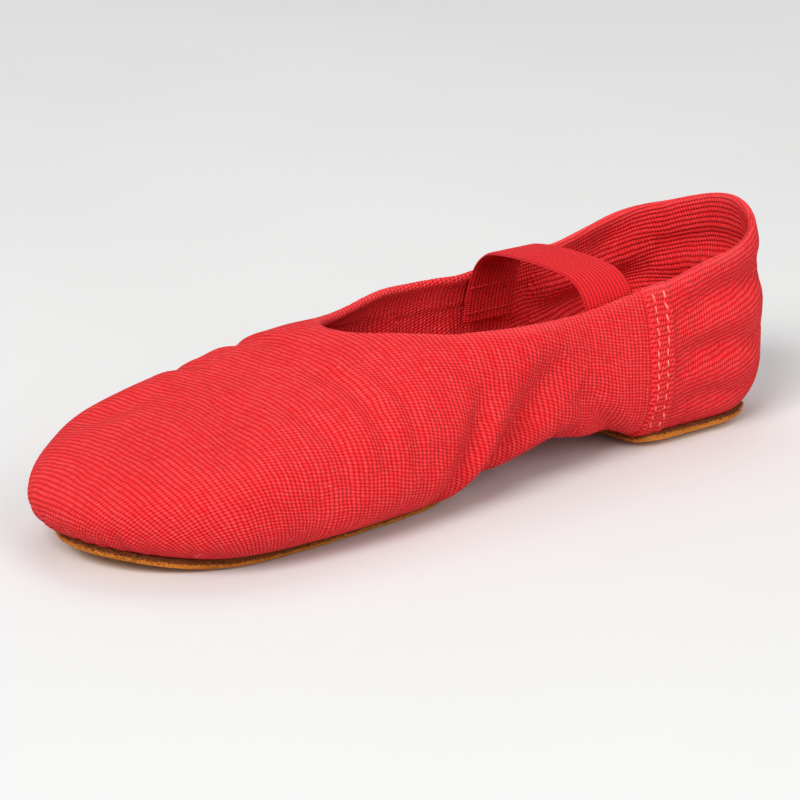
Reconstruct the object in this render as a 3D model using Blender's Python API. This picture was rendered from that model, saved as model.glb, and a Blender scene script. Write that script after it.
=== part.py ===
"""Canvas split-sole ballet shoe for a child's foot, standing on its two suede pads.

The shoe is measured on its last. Half-sections of the last stand side by side from the toe to the heel: they
swing round the toe, run back along the foot, and swing round the heel. Each one starts under the foot, rounds
the sole's edge, climbs the side, and ends at the collar, or at the top centre line over the toes.
+X points to the toe, +Y to the shoe's left side and +Z up. The pads stand on z = 0.
"""

import math
from collections import namedtuple

import bmesh
import bpy

# Driving dimensions, in metres
LENGTH = 0.200
BALL_WIDTH = 0.070
WAIST_WIDTH = 0.053
HEEL_WIDTH = 0.052
INSTEP_HEIGHT = 0.037
SIDE_HEIGHT = 0.036
HEEL_HEIGHT = 0.047
VAMP_SLOPE = 0.21
ARCH_LIFT = 0.006
ARCH_OVERLAP = 0.010
TOE_SPRING = 0.003
SPRING_START = 0.022
SPRING_RUN = 0.034

CANVAS = 0.0015
SUEDE = 0.0019
INSOLE = 0.0015
GAP = 0.0004
INSOLE_GAP = 0.0005

TOE_ROUND = 0.043
HEEL_ROUND = 0.026
THROAT_PLACE = 0.026
THROAT_DEPTH = 0.036
SEWN_MARGIN = 0.012
INSOLE_INSET = 0.003
PAD_CORNER = 0.004

ELASTIC_WIDTH = 0.015
ELASTIC = 0.0010
ELASTIC_SEWN = 0.013
ELASTIC_BEND = 0.010
ELASTIC_TURN = math.radians(78)
ELASTIC_PLACE = -0.040
ELASTIC_LEAN = 0.002

# Shares that set the roundness of the last
FLAT_SHARE = 0.70
FULLNESS = 2.5
PAD_TAPER = 1.6

# Places along the foot's axis
TOE_CENTRE = LENGTH / 2 - TOE_ROUND
HEEL_CENTRE = HEEL_ROUND - LENGTH / 2
SOLE_HEIGHT = SUEDE + GAP

# A pad has a square edge towards the arch and a round tip, and is widest at a share of the way between them.
Pad = namedtuple("Pad", "name square tip width square_width widest centre")
FOREFOOT = Pad("forefoot_pad", 0.010, 0.094, 0.0515, 0.0430, 0.57, TOE_CENTRE)
HEEL = Pad("heel_pad", -0.049, -0.0955, 0.0430, 0.0424, 0.50, HEEL_CENTRE)

# One row for each half-section of the last. axis: where on the foot's axis it starts, facing: its direction
# in plan, from 0 at the toe to 180 at the heel, reach: plan distance to its widest point, widest: that
# point's height, collar: half the width that the collar leaves open, rim: the collar's height.
Section = namedtuple("Section", "axis facing reach widest collar rim")
SECTIONS = (
    Section(TOE_CENTRE, 0, TOE_ROUND, 0.0122, 0.0196, INSTEP_HEIGHT),
    Section(TOE_CENTRE, 45, 0.0381, 0.0124, 0.0198, INSTEP_HEIGHT),
    Section(TOE_CENTRE, 90, BALL_WIDTH / 2 - 0.0002, 0.0128, 0.0200, INSTEP_HEIGHT),
    Section(0.046, 90, BALL_WIDTH / 2, 0.0130, 0.0204, INSTEP_HEIGHT),
    Section(0.024, 90, 0.0334, 0.0136, 0.0210, INSTEP_HEIGHT),
    Section(0.000, 90, 0.0296, 0.0152, 0.0224, SIDE_HEIGHT + 0.0006),
    Section(-0.024, 90, WAIST_WIDTH / 2, 0.0168, 0.0228, SIDE_HEIGHT),
    Section(-0.050, 90, 0.0258, 0.0160, 0.0227, SIDE_HEIGHT + 0.0024),
    Section(HEEL_CENTRE, 90, HEEL_WIDTH / 2, 0.0154, 0.0228, SIDE_HEIGHT + 0.0062),
    Section(HEEL_CENTRE, 135, HEEL_WIDTH / 2, 0.0152, 0.0233, HEEL_HEIGHT - 0.0012),
    Section(HEEL_CENTRE, 180, HEEL_ROUND, 0.0152, 0.0238, HEEL_HEIGHT),
)

# A piece's colour, as linear red, green and blue, and roughness
Finish = namedtuple("Finish", "name colour roughness")
RED_CANVAS = Finish("red_canvas", (0.62, 0.016, 0.022), 0.85)
ORANGE_SUEDE = Finish("orange_suede", (0.80, 0.26, 0.03), 0.95)
INSOLE_CLOTH = Finish("insole_cloth", (0.60, 0.02, 0.03), 0.9)
RED_ELASTIC = Finish("red_elastic", (0.55, 0.012, 0.02), 0.7)

# How many steps the surfaces take
TOE_STEPS = 10
VAMP_STEPS = 5
THROAT_STEPS = 7
SIDE_STEPS = 10
HEEL_STEPS = 8
UNDER_STEPS = 4
EDGE_STEPS = 6
WALL_STEPS = 9
PAD_LONG_STEPS = 22
PAD_CROSS_STEPS = 10
ELASTIC_WALL_STEPS = 4
ELASTIC_BEND_STEPS = 5
ELASTIC_TOP_STEPS = 5
SLOPE_STEP = 1e-4
MERGE_DISTANCE = 1e-5
SHARP_EDGE = math.radians(40)


def blend(a, b, share):
    return a + (b - a) * share


def ease(share):
    """Rises smoothly from 0 to 1 as share goes from 0 to 1."""
    share = min(max(share, 0.0), 1.0)
    return share * share * (3 - 2 * share)


def run_of(axis, facing):
    """How far along the side of the last a half-section stands, growing from the toe to the heel."""
    radius = TOE_ROUND if facing < 90 else HEEL_ROUND
    return TOE_CENTRE - axis + radius * math.radians(facing - 90)


RUNS = [run_of(row.axis, row.facing) for row in SECTIONS]


def slope_at(index, column):
    """Slope of one column of SECTIONS at a row, level at the ends and where the column turns."""
    if index in (0, len(SECTIONS) - 1):
        return 0.0
    sizes = [getattr(row, column) for row in SECTIONS[index - 1:index + 2]]
    before = (sizes[1] - sizes[0]) / (RUNS[index] - RUNS[index - 1])
    after = (sizes[2] - sizes[1]) / (RUNS[index + 1] - RUNS[index])
    return 2 * before * after / (before + after) if before * after > 0 else 0.0


def last_size(axis, facing, column):
    """One size of the last anywhere along it, read smoothly between the rows of SECTIONS."""
    run = run_of(axis, facing)
    index = 0
    while index < len(SECTIONS) - 2 and run > RUNS[index + 1]:
        index += 1
    span = RUNS[index + 1] - RUNS[index]
    share = (run - RUNS[index]) / span
    low, high = getattr(SECTIONS[index], column), getattr(SECTIONS[index + 1], column)
    start, end = slope_at(index, column) * (1 - share), slope_at(index + 1, column) * share
    return blend(low, high, ease(share)) + share * (1 - share) * span * (start - end)


def opened_share(axis):
    """How far the throat has opened: 0 over the toes, 1 from THROAT_DEPTH behind THROAT_PLACE."""
    return min(max((THROAT_PLACE - axis) / THROAT_DEPTH, 0.0), 1.0)


def collar_half(axis, facing):
    """Half the open width at the collar, which opens as a half ellipse."""
    return last_size(axis, facing, "collar") * math.sqrt(1 - (1 - opened_share(axis)) ** 2)


def collar_turn(axis, facing):
    """The turn at which the wall's curve, which starts at the widest point, meets the collar."""
    share = collar_half(axis, facing) / last_size(axis, facing, "reach")
    return math.acos(share ** (FULLNESS / 2))


def top_height(axis, facing, x):
    """Height where a half-section ends: the top centre line, which falls to the toe, or the collar's rim."""
    widest = last_size(axis, facing, "widest")
    crown = INSTEP_HEIGHT - VAMP_SLOPE * (x - THROAT_PLACE)
    on_crown = widest + (crown - widest) * math.sin(collar_turn(axis, facing)) ** (2 / FULLNESS)
    return blend(on_crown, last_size(axis, facing, "rim"), ease(opened_share(axis)))


def under_height(x):
    """Height of the canvas under the foot's axis: flat on the pads, raised at the arch and the toe."""
    middle = (FOREFOOT.square + HEEL.square) / 2
    half_span = (FOREFOOT.square - HEEL.square) / 2 + ARCH_OVERLAP
    arch = ease(1 - abs(x - middle) / half_span)
    spring = ease((x - FOREFOOT.tip + SPRING_START) / SPRING_RUN)
    return SOLE_HEIGHT + ARCH_LIFT * arch + TOE_SPRING * spring


def sole_height(x, y):
    """Height of the canvas's underside anywhere under the foot."""
    axis = min(max(x, HEEL_CENTRE), TOE_CENTRE)
    facing = 90 if axis == x else math.degrees(math.atan2(abs(y), x - axis))
    reach = last_size(axis, facing, "reach")
    flat = FLAT_SHARE * reach
    outward = min(max(math.hypot(x - axis, y) - flat, 0.0) / (reach - flat), 1.0)
    return blend(last_size(axis, facing, "widest"), under_height(x), math.sqrt(1 - outward ** 2))


def from_sole(x, y, height):
    """The point that lies this far above the canvas's underside, measured square to it."""
    near = SLOPE_STEP
    along = (sole_height(x + near, y) - sole_height(x - near, y)) / (2 * near)
    across = (sole_height(x, y + near) - sole_height(x, y - near)) / (2 * near)
    size = math.hypot(along, across, 1.0)
    return x - along / size * height, y - across / size * height, sole_height(x, y) + height / size


def hole_half(axis, facing):
    """Distance from the axis to the hole left underneath, inside the margin that is sewn to a pad."""
    pad = FOREFOOT if axis > 0 else HEEL
    half = pad.width / 2 - SEWN_MARGIN
    to_tip = abs(pad.tip - pad.centre) - SEWN_MARGIN
    to_square = abs(pad.square - pad.centre) - SEWN_MARGIN
    if facing != 90:
        turn = math.radians(facing)
        return 1 / math.hypot(math.cos(turn) / to_tip, math.sin(turn) / half)
    off_centre = min(abs(axis - pad.centre) / to_square, 1.0)
    return half * math.sqrt(1 - off_centre ** 2)


def pad_half(pad, x):
    """Half a pad's width: an ellipse at its tip, a taper to its square edge, and round corners there."""
    share = (x - pad.square) / (pad.tip - pad.square)
    if share > pad.widest:
        beyond = min((share - pad.widest) / (1 - pad.widest), 1.0)
        return pad.width / 2 * math.sqrt(1 - beyond ** 2)
    taper = (1 - share / pad.widest) ** PAD_TAPER
    into_corner = max(PAD_CORNER - abs(x - pad.square), 0.0)
    corner = PAD_CORNER - math.sqrt(PAD_CORNER ** 2 - into_corner ** 2)
    return blend(pad.width, pad.square_width, taper) / 2 - corner


def wall_point(axis, facing, turn):
    """Plan distance from the axis, and height, of the canvas's outer face at one turn of the wall's curve."""
    end = collar_turn(axis, facing)
    reach, widest = last_size(axis, facing, "reach"), last_size(axis, facing, "widest")
    distance = reach * max(math.cos(turn), 0.0) ** (2 / FULLNESS)
    if math.isclose(turn, end):
        distance = collar_half(axis, facing)
    top = top_height(axis, facing, axis + distance * math.cos(math.radians(facing)))
    return distance, widest + (top - widest) * (math.sin(turn) / math.sin(end)) ** (2 / FULLNESS)


def half_section(axis, facing):
    """Points of the canvas's outer face, from under the foot to the collar or the top centre line."""
    ahead, aside = math.cos(math.radians(facing)), math.sin(math.radians(facing))
    reach = last_size(axis, facing, "reach")
    flat = FLAT_SHARE * reach
    hole = hole_half(axis, facing)
    under = [blend(hole, flat, step / UNDER_STEPS) for step in range(UNDER_STEPS)]
    turns = [math.pi / 2 * step / EDGE_STEPS for step in range(EDGE_STEPS)]
    under += [blend(flat, reach, math.sin(turn)) for turn in turns]
    points = []
    for distance in under:
        x, y = axis + distance * ahead, distance * aside
        points.append((x, y, sole_height(x, y)))
    for step in range(WALL_STEPS + 1):
        distance, height = wall_point(axis, facing, collar_turn(axis, facing) * step / WALL_STEPS)
        points.append((axis + distance * ahead, distance * aside, height))
    return points


def places_on_last():
    """Axis and facing of each half-section from the toe to the heel, closest where the throat opens."""
    throat_end = THROAT_PLACE - THROAT_DEPTH
    places = [(TOE_CENTRE, 90 * step / TOE_STEPS) for step in range(TOE_STEPS)]
    places += [(blend(TOE_CENTRE, THROAT_PLACE, step / VAMP_STEPS), 90) for step in range(VAMP_STEPS)]
    for step in range(THROAT_STEPS):
        opened = 1 - math.cos(math.pi / 2 * step / THROAT_STEPS)
        places.append((blend(THROAT_PLACE, throat_end, opened), 90))
    places += [(blend(throat_end, HEEL_CENTRE, step / SIDE_STEPS), 90) for step in range(SIDE_STEPS)]
    places += [(HEEL_CENTRE, 90 + 90 * step / HEEL_STEPS) for step in range(HEEL_STEPS + 1)]
    return places


def add_material(mesh, name, finish):
    made = bpy.data.materials.new(f"{name}_{finish.name}")
    made.use_nodes = True
    shader = made.node_tree.nodes["Principled BSDF"]
    shader.inputs["Base Color"].default_value = (*finish.colour, 1.0)
    shader.inputs["Roughness"].default_value = finish.roughness
    shader.inputs["Metallic"].default_value = 0.0
    mesh.materials.append(made)


def add_piece(name, sheet, finish, shoe):
    """Turns a bmesh into a named object of the shoe, with a material of its own."""
    mesh = bpy.data.meshes.new(name)
    sheet.to_mesh(mesh)
    sheet.free()
    add_material(mesh, name, finish)
    mesh.shade_smooth()
    mesh.set_sharp_from_angle(angle=SHARP_EDGE)
    piece = bpy.data.objects.new(name, mesh)
    bpy.context.scene.collection.objects.link(piece)
    piece.parent = shoe
    return piece


def make_upper(shoe):
    """The canvas shell: one skin from the half-sections of both sides, given its thickness inwards."""
    left = [half_section(axis, facing) for axis, facing in places_on_last()]
    right = [[(x, -y, z) for x, y, z in section] for section in left[-2:0:-1]]
    sheet = bmesh.new()
    rows = [[sheet.verts.new(point) for point in section] for section in left + right]
    for row, after in zip(rows, rows[1:] + rows[:1]):
        for low in range(len(row) - 1):
            sheet.faces.new((row[low], after[low], after[low + 1], row[low + 1]))
    bmesh.ops.remove_doubles(sheet, verts=sheet.verts, dist=MERGE_DISTANCE)
    upper = add_piece("upper", sheet, RED_CANVAS, shoe)
    wall = upper.modifiers.new("canvas", "SOLIDIFY")
    wall.thickness = CANVAS
    wall.offset = -1.0
    wall.use_even_offset = True


def make_layer(name, pad, lift, thickness, finish, shoe):
    """A sheet in a pad's outline that follows the underside of the foot, between two heights from it."""
    turns = [math.pi * step / PAD_LONG_STEPS for step in range(PAD_LONG_STEPS + 1)]
    along = [blend(pad.square, pad.tip, (1 - math.cos(turn)) / 2) for turn in turns]
    across = [math.sin(math.pi * (step / PAD_CROSS_STEPS - 0.5)) for step in range(PAD_CROSS_STEPS + 1)]
    sheet = bmesh.new()
    for height in (lift, lift + thickness):
        rows = []
        for x in along:
            half = pad_half(pad, x)
            rows.append([sheet.verts.new(from_sole(x, half * share, height)) for share in across])
        for row, after in zip(rows, rows[1:]):
            for step in range(PAD_CROSS_STEPS):
                sheet.faces.new((row[step], row[step + 1], after[step + 1], after[step]))
    bmesh.ops.remove_doubles(sheet, verts=sheet.verts, dist=MERGE_DISTANCE)
    edges = [edge for edge in sheet.edges if edge.is_boundary]
    bmesh.ops.bridge_loops(sheet, edges=edges)
    bmesh.ops.recalc_face_normals(sheet, faces=sheet.faces)
    add_piece(name, sheet, finish, shoe)


def make_pads(shoe):
    """The two suede pads under the foot."""
    for pad in (FOREFOOT, HEEL):
        make_layer(pad.name, pad, -GAP - SUEDE, SUEDE, ORANGE_SUEDE, shoe)


def make_insoles(shoe):
    """Thin pads inside, over the holes and a little smaller than the suede below them."""
    for name, pad in (("forefoot_insole", FOREFOOT), ("heel_insole", HEEL)):
        tip = pad.tip - math.copysign(INSOLE_INSET, pad.tip)
        width, square_width = pad.width - 2 * INSOLE_INSET, pad.square_width - 2 * INSOLE_INSET
        smaller = pad._replace(tip=tip, width=width, square_width=square_width)
        make_layer(name, smaller, CANVAS + INSOLE_GAP, INSOLE, INSOLE_CLOTH, shoe)


def elastic_route():
    """Middle line of the elastic: up inside one wall, over the instep, down inside the other."""
    top = top_height(ELASTIC_PLACE, 90, ELASTIC_PLACE)
    widest = last_size(ELASTIC_PLACE, 90, "widest")
    end = collar_turn(ELASTIC_PLACE, 90)
    inside = CANVAS + INSOLE_GAP + GAP + ELASTIC / 2
    half = []
    for step in range(ELASTIC_WALL_STEPS + 1):
        height = top - ELASTIC_SEWN * (1 - step / ELASTIC_WALL_STEPS)
        risen = (height - widest) / (top - widest)
        turn = math.asin(risen ** (FULLNESS / 2) * math.sin(end))
        half.append((ELASTIC_PLACE, wall_point(ELASTIC_PLACE, 90, turn)[0] - inside, height))
    edge = half[-1][1]
    start = math.atan2(half[-2][1] - edge, top - half[-2][2])
    over = []
    for step in range(1, ELASTIC_BEND_STEPS + 1):
        turn = blend(start, ELASTIC_TURN, step / ELASTIC_BEND_STEPS)
        inward = ELASTIC_BEND * (math.cos(start) - math.cos(turn))
        over.append((edge - inward, top + ELASTIC_BEND * (math.sin(turn) - math.sin(start))))
    shoulder, height = over[-1]
    for step in range(1, ELASTIC_TOP_STEPS + 1):
        share = step / ELASTIC_TOP_STEPS
        climb = shoulder / math.tan(ELASTIC_TURN) * (share - share ** 2 / 2)
        over.append((shoulder * (1 - share), height + climb))
    half += [(ELASTIC_PLACE + ELASTIC_LEAN * ease(1 - y / edge), y, z) for y, z in over]
    return half + [(x, -y, z) for x, y, z in half[-2::-1]]


def make_elastic(shoe):
    """A flat band swept along its route across the shoe."""
    route = elastic_route()
    sheet = bmesh.new()
    rows = []
    for index, (x, y, z) in enumerate(route):
        before, after = route[max(index - 1, 0)], route[min(index + 1, len(route) - 1)]
        run, rise = after[1] - before[1], after[2] - before[2]
        size = math.hypot(run, rise)
        out_y, out_z = rise / size * ELASTIC / 2, -run / size * ELASTIC / 2
        row = []
        for along, side in ((-0.5, 1), (0.5, 1), (0.5, -1), (-0.5, -1)):
            row.append(sheet.verts.new((x + along * ELASTIC_WIDTH, y + side * out_y, z + side * out_z)))
        rows.append(row)
    for row, after in zip(rows, rows[1:]):
        for side in range(4):
            beside = (side + 1) % 4
            sheet.faces.new((row[side], row[beside], after[beside], after[side]))
    sheet.faces.new(rows[0])
    sheet.faces.new(rows[-1])
    bmesh.ops.recalc_face_normals(sheet, faces=sheet.faces)
    add_piece("instep_elastic", sheet, RED_ELASTIC, shoe)


def main():
    for found in list(bpy.data.objects):
        bpy.data.objects.remove(found)
    shoe = bpy.data.objects.new("ballet_shoe", None)
    bpy.context.scene.collection.objects.link(shoe)
    make_upper(shoe)
    make_pads(shoe)
    make_insoles(shoe)
    make_elastic(shoe)


main()
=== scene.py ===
"""Looks of the canvas split-sole ballet shoe: woven canvas, napped suede, ribbed elastic, seams and stitches.

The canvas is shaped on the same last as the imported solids. A place on it is named by two lengths. run goes
along the side of the last: it is negative round the toe, 0 at the ball line, and grows to the middle of the
heel's back. girth goes round the foot from the top centre line, across half the open collar, down the side
and under the sole. +X points to the toe, +Y to the shoe's left side and +Z up. Lengths are metres, and the
UV map of the threads is in millimetres.
"""

import math
from collections import namedtuple

import bpy
import numpy as np
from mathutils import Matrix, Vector
from mathutils.bvhtree import BVHTree
from mathutils.kdtree import KDTree


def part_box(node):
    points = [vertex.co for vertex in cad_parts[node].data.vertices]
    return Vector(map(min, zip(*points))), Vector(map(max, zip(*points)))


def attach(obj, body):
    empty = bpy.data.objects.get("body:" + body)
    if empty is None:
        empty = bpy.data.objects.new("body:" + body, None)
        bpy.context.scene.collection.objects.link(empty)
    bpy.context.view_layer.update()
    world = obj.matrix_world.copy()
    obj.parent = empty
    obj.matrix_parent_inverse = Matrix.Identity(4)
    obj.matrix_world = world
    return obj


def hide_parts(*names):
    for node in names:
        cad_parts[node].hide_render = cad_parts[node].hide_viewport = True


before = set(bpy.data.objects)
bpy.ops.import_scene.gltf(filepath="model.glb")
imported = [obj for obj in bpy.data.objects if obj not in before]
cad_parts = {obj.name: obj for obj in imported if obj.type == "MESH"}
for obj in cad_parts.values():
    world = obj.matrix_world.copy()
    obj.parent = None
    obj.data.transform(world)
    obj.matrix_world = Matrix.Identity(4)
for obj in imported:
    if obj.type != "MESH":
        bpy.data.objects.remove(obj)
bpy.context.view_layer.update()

# Sizes of the last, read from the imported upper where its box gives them
UPPER_LOW, UPPER_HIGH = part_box("upper")
LENGTH = UPPER_HIGH.x - UPPER_LOW.x
BALL_WIDTH = UPPER_HIGH.y - UPPER_LOW.y
HEEL_HEIGHT = UPPER_HIGH.z
SOLE_HEIGHT = UPPER_LOW.z
WAIST_WIDTH = 0.053
HEEL_WIDTH = 0.052
INSTEP_HEIGHT = 0.037
SIDE_HEIGHT = 0.036
VAMP_SLOPE = 0.21
ARCH_LIFT = 0.006
ARCH_OVERLAP = 0.010
TOE_SPRING = 0.003
SPRING_START = 0.022
SPRING_RUN = 0.034
TOE_ROUND = 0.043
HEEL_ROUND = 0.026
THROAT_PLACE = 0.026
THROAT_DEPTH = 0.036
FLAT_SHARE = 0.70
FULLNESS = 2.5

# Thicknesses and sewing margins
CANVAS = 0.0015
SUEDE = 0.0019
INSOLE = 0.0015
GAP = 0.0004
INSOLE_GAP = 0.0005
SEWN_MARGIN = 0.012
INSOLE_INSET = 0.003
PAD_CORNER = 0.004
PAD_TAPER = 1.6

# Elastic band
ELASTIC_WIDTH = 0.015
ELASTIC = 0.0010
ELASTIC_SEWN = 0.013
ELASTIC_BEND = 0.010
ELASTIC_TURN = math.radians(78)
ELASTIC_PLACE = -0.040
ELASTIC_LEAN = 0.002
ELASTIC_RIB = 0.0011
ELASTIC_RIB_HEIGHT = 0.00022
ELASTIC_SQUARENESS = 14
ELASTIC_YARN = 0.00055

# Places along the foot's axis, and the same places as runs
TOE_CENTRE = LENGTH / 2 - TOE_ROUND
HEEL_CENTRE = HEEL_ROUND - LENGTH / 2
SEAM_PLACE = -0.048
TOE_RUN = -TOE_ROUND * math.pi / 2
THROAT_RUN = TOE_CENTRE - THROAT_PLACE
SEAM_RUN = TOE_CENTRE - SEAM_PLACE
HEEL_RUN = TOE_CENTRE - HEEL_CENTRE
BACK_RUN = HEEL_RUN + HEEL_ROUND * math.pi / 2

# A pad has a square edge towards the arch and a round tip, and is widest at a share of the way between them.
Pad = namedtuple("Pad", "square tip width square_width widest centre corner")
FOREFOOT = Pad(0.010, 0.094, 0.0515, 0.0430, 0.57, TOE_CENTRE, PAD_CORNER)
HEEL = Pad(-0.049, -0.0955, 0.0430, 0.0424, 0.50, HEEL_CENTRE, PAD_CORNER)

# One row for each half-section of the last. axis: where on the foot's axis it starts, facing: its direction
# in plan, in degrees, reach: plan distance to its widest point, widest: that point's height, collar: half the
# open width, rim: its height.
Section = namedtuple("Section", "axis facing reach widest collar rim")
SECTIONS = (
    Section(TOE_CENTRE, 0, TOE_ROUND, 0.0122, 0.0196, INSTEP_HEIGHT),
    Section(TOE_CENTRE, 45, 0.0381, 0.0124, 0.0198, INSTEP_HEIGHT),
    Section(TOE_CENTRE, 90, BALL_WIDTH / 2 - 0.0002, 0.0128, 0.0200, INSTEP_HEIGHT),
    Section(0.046, 90, BALL_WIDTH / 2, 0.0130, 0.0204, INSTEP_HEIGHT),
    Section(0.024, 90, 0.0334, 0.0136, 0.0210, INSTEP_HEIGHT),
    Section(0.000, 90, 0.0296, 0.0152, 0.0224, SIDE_HEIGHT + 0.0006),
    Section(-0.024, 90, WAIST_WIDTH / 2, 0.0168, 0.0228, SIDE_HEIGHT),
    Section(-0.050, 90, 0.0258, 0.0160, 0.0227, SIDE_HEIGHT + 0.0024),
    Section(HEEL_CENTRE, 90, HEEL_WIDTH / 2, 0.0154, 0.0228, SIDE_HEIGHT + 0.0062),
    Section(HEEL_CENTRE, 135, HEEL_WIDTH / 2, 0.0152, 0.0233, HEEL_HEIGHT - 0.0012),
    Section(HEEL_CENTRE, 180, HEEL_ROUND, 0.0152, 0.0238, HEEL_HEIGHT),
)

# Creases of the soft canvas. side: 1 left, -1 right, depth: how far the trough sinks (a ridge is negative),
# width: half its width, start, middle and end: run and girth of the points it passes.
Crease = namedtuple("Crease", "side depth width start middle end")
CREASES = (
    # Folds that fan out from the side seam along the heel piece
    Crease(1, 0.0026, 0.0050, (0.111, 0.030), (0.134, 0.031), (0.160, 0.036)),
    Crease(1, 0.0020, 0.0042, (0.111, 0.040), (0.130, 0.043), (0.152, 0.050)),
    Crease(1, 0.0012, 0.0036, (0.113, 0.050), (0.126, 0.054), (0.143, 0.058)),
    Crease(-1, 0.0024, 0.0050, (0.111, 0.033), (0.129, 0.034), (0.152, 0.034)),
    Crease(-1, 0.0019, 0.0044, (0.112, 0.043), (0.132, 0.046), (0.160, 0.047)),
    Crease(-1, 0.0011, 0.0034, (0.114, 0.053), (0.124, 0.056), (0.140, 0.057)),
    # A fold round the back of the heel
    Crease(1, 0.0019, 0.0046, (0.153, 0.043), (0.173, 0.040), (0.194, 0.041)),
    # Pulls from the pads' corners up the slack sides above the arch
    Crease(1, 0.0033, 0.0066, (0.044, 0.067), (0.060, 0.047), (0.078, 0.029)),
    Crease(1, 0.0020, 0.0046, (0.036, 0.061), (0.044, 0.047), (0.055, 0.031)),
    Crease(1, 0.0019, 0.0048, (0.102, 0.064), (0.092, 0.050), (0.081, 0.038)),
    Crease(1, 0.0012, 0.0036, (0.064, 0.066), (0.073, 0.055), (0.084, 0.048)),
    Crease(-1, 0.0031, 0.0066, (0.046, 0.067), (0.058, 0.048), (0.070, 0.030)),
    Crease(-1, 0.0018, 0.0048, (0.103, 0.063), (0.090, 0.048), (0.083, 0.035)),
    Crease(-1, 0.0018, 0.0044, (0.034, 0.060), (0.040, 0.048), (0.049, 0.034)),
    Crease(-1, 0.0011, 0.0036, (0.070, 0.066), (0.078, 0.054), (0.086, 0.047)),
    # The collar's edge rolls out a little beside the arch
    Crease(1, -0.0011, 0.0080, (0.048, 0.022), (0.066, 0.025), (0.086, 0.024)),
    Crease(-1, -0.0009, 0.0075, (0.052, 0.022), (0.072, 0.025), (0.087, 0.024)),
    # Flex wrinkles across the vamp at the ball
    Crease(1, 0.0012, 0.0036, (0.015, 0.006), (0.020, 0.024), (0.017, 0.046)),
    Crease(1, 0.0010, 0.0032, (0.002, 0.016), (0.007, 0.030), (0.008, 0.047)),
    Crease(1, 0.0008, 0.0030, (0.026, 0.018), (0.029, 0.032), (0.027, 0.047)),
    Crease(-1, 0.0012, 0.0036, (0.021, 0.005), (0.022, 0.024), (0.026, 0.044)),
    Crease(-1, 0.0010, 0.0032, (0.008, 0.012), (0.007, 0.028), (0.011, 0.047)),
    # The unstiffened toe sinks a little, more on one side
    Crease(1, 0.0015, 0.0085, (-0.010, 0.004), (-0.020, 0.016), (-0.028, 0.032)),
    Crease(-1, 0.0011, 0.0070, (-0.022, 0.010), (-0.034, 0.022), (-0.040, 0.036)),
)
CREASE_STEPS = 24
CREASE_SHOULDER = 1.1
CREASE_FADE = 0.8

# The side seam: its fold, the raised allowance behind it and the two stitched dips there
SEAM_RAISE = 0.0007
SEAM_LEAD = 0.0004
SEAM_RISE = 0.0011
SEAM_BAND = 0.0064
SEAM_FALL = 0.0014
SEAM_GROOVE = 0.0006
SEAM_GROOVE_WIDTH = 0.0005
SEAM_ROWS = (0.0017, 0.0048)
SEAM_ROW_FOOT = 0.024
SEAM_ROW_TOP = 0.0012
ROW_DIP = 0.00028
ROW_DIP_WIDTH = 0.0006

# The seam along the middle of the arch
ARCH_RAISE = 0.0004
ARCH_BAND = 0.0030
ARCH_FALL = 0.0012
ARCH_ROW = 0.0013
ARCH_ROW_INSET = 0.001
ARCH_HEADROOM = 0.002

# The collar's turned edge, and how far from it the canvas is painted paler, a painted highlight along the
# edge
HEM = 0.0005
HEM_DEPTH = 0.0075
HEM_STEP = 0.0010
EDGE_HIGHLIGHT_WIDTH = 0.0012

# Sway of the slack collar, sideways and up and down
COLLAR_SWAY = 0.0013
COLLAR_WAVE = 0.042
COLLAR_DEPTH = 0.015
LEAN_SEED = 14
RISE_SEED = 15
HEEL_PEAK = 0.0022
HEEL_PEAK_WIDTH = 0.014

# Softness of the canvas, and the puckers where its toe is drawn in to the pad
WAVE_COUNT = 6
WAVE_SPREAD = (0.7, 1.4)
WAVE = 0.00030
WAVE_SIZE = 0.040
WAVE_SEED = 11
RIPPLE = 0.00012
RIPPLE_SIZE = 0.013
RIPPLE_SEED = 12
CALM_HEIGHT = 0.0050
PUCKER = 0.00030
PUCKER_PITCH = 0.0052
PUCKER_HEIGHT = 0.0070
PUCKER_DEPTH = 0.0040
PUCKER_START = 0.035
PUCKER_RUN = 0.03
PUCKER_UNEVEN_SIZE = 0.020
PUCKER_UNEVEN = 0.5
PUCKER_EVEN = 0.7
PUCKER_WANDER = 2.2
PUCKER_SEED = 13

# Stitches. pitch: from one to the next, length: the part that shows, thread: thickness, slant: turn in
# degrees, sway: how far the turn, in radians, and the length, in shares, are uneven
Stitch = namedtuple("Stitch", "pitch length thread slant sway seed")
PAD_STITCH = Stitch(0.0039, 0.0030, 0.00055, 2.0, 0.09, 3)
SEAM_STITCH = Stitch(0.0026, 0.0020, 0.00038, 9.0, 0.19, 5)
INSOLE_STITCH = Stitch(0.0039, 0.0028, 0.00045, 2.0, 0.09, 9)
ELASTIC_STITCH = Stitch(0.0021, 0.0016, 0.00045, 4.0, 0.09, 7)

# A stitch's shape, in thread thicknesses or in shares of its length, and the needle holes at its ends, which
# are dark rounds of painted shade
THREAD_SUNK = -0.75
THREAD_BOW = 1.15
STITCH_SHORT = 0.97
STITCH_LONG = 0.99
STITCH_THIN = 0.92
STITCH_THICK = 1.1
HOLE_RADIUS = 0.52
HOLE_PLACE = 0.47
HOLE_SHAPE = (1.25, 0.8, 0.10)

# How far outside the canvas, or a layer's face, stitched rows are laid before they are drawn onto it
OUTSIDE = 0.0015
LAYER_OUTSIDE = OUTSIDE / 3

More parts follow.
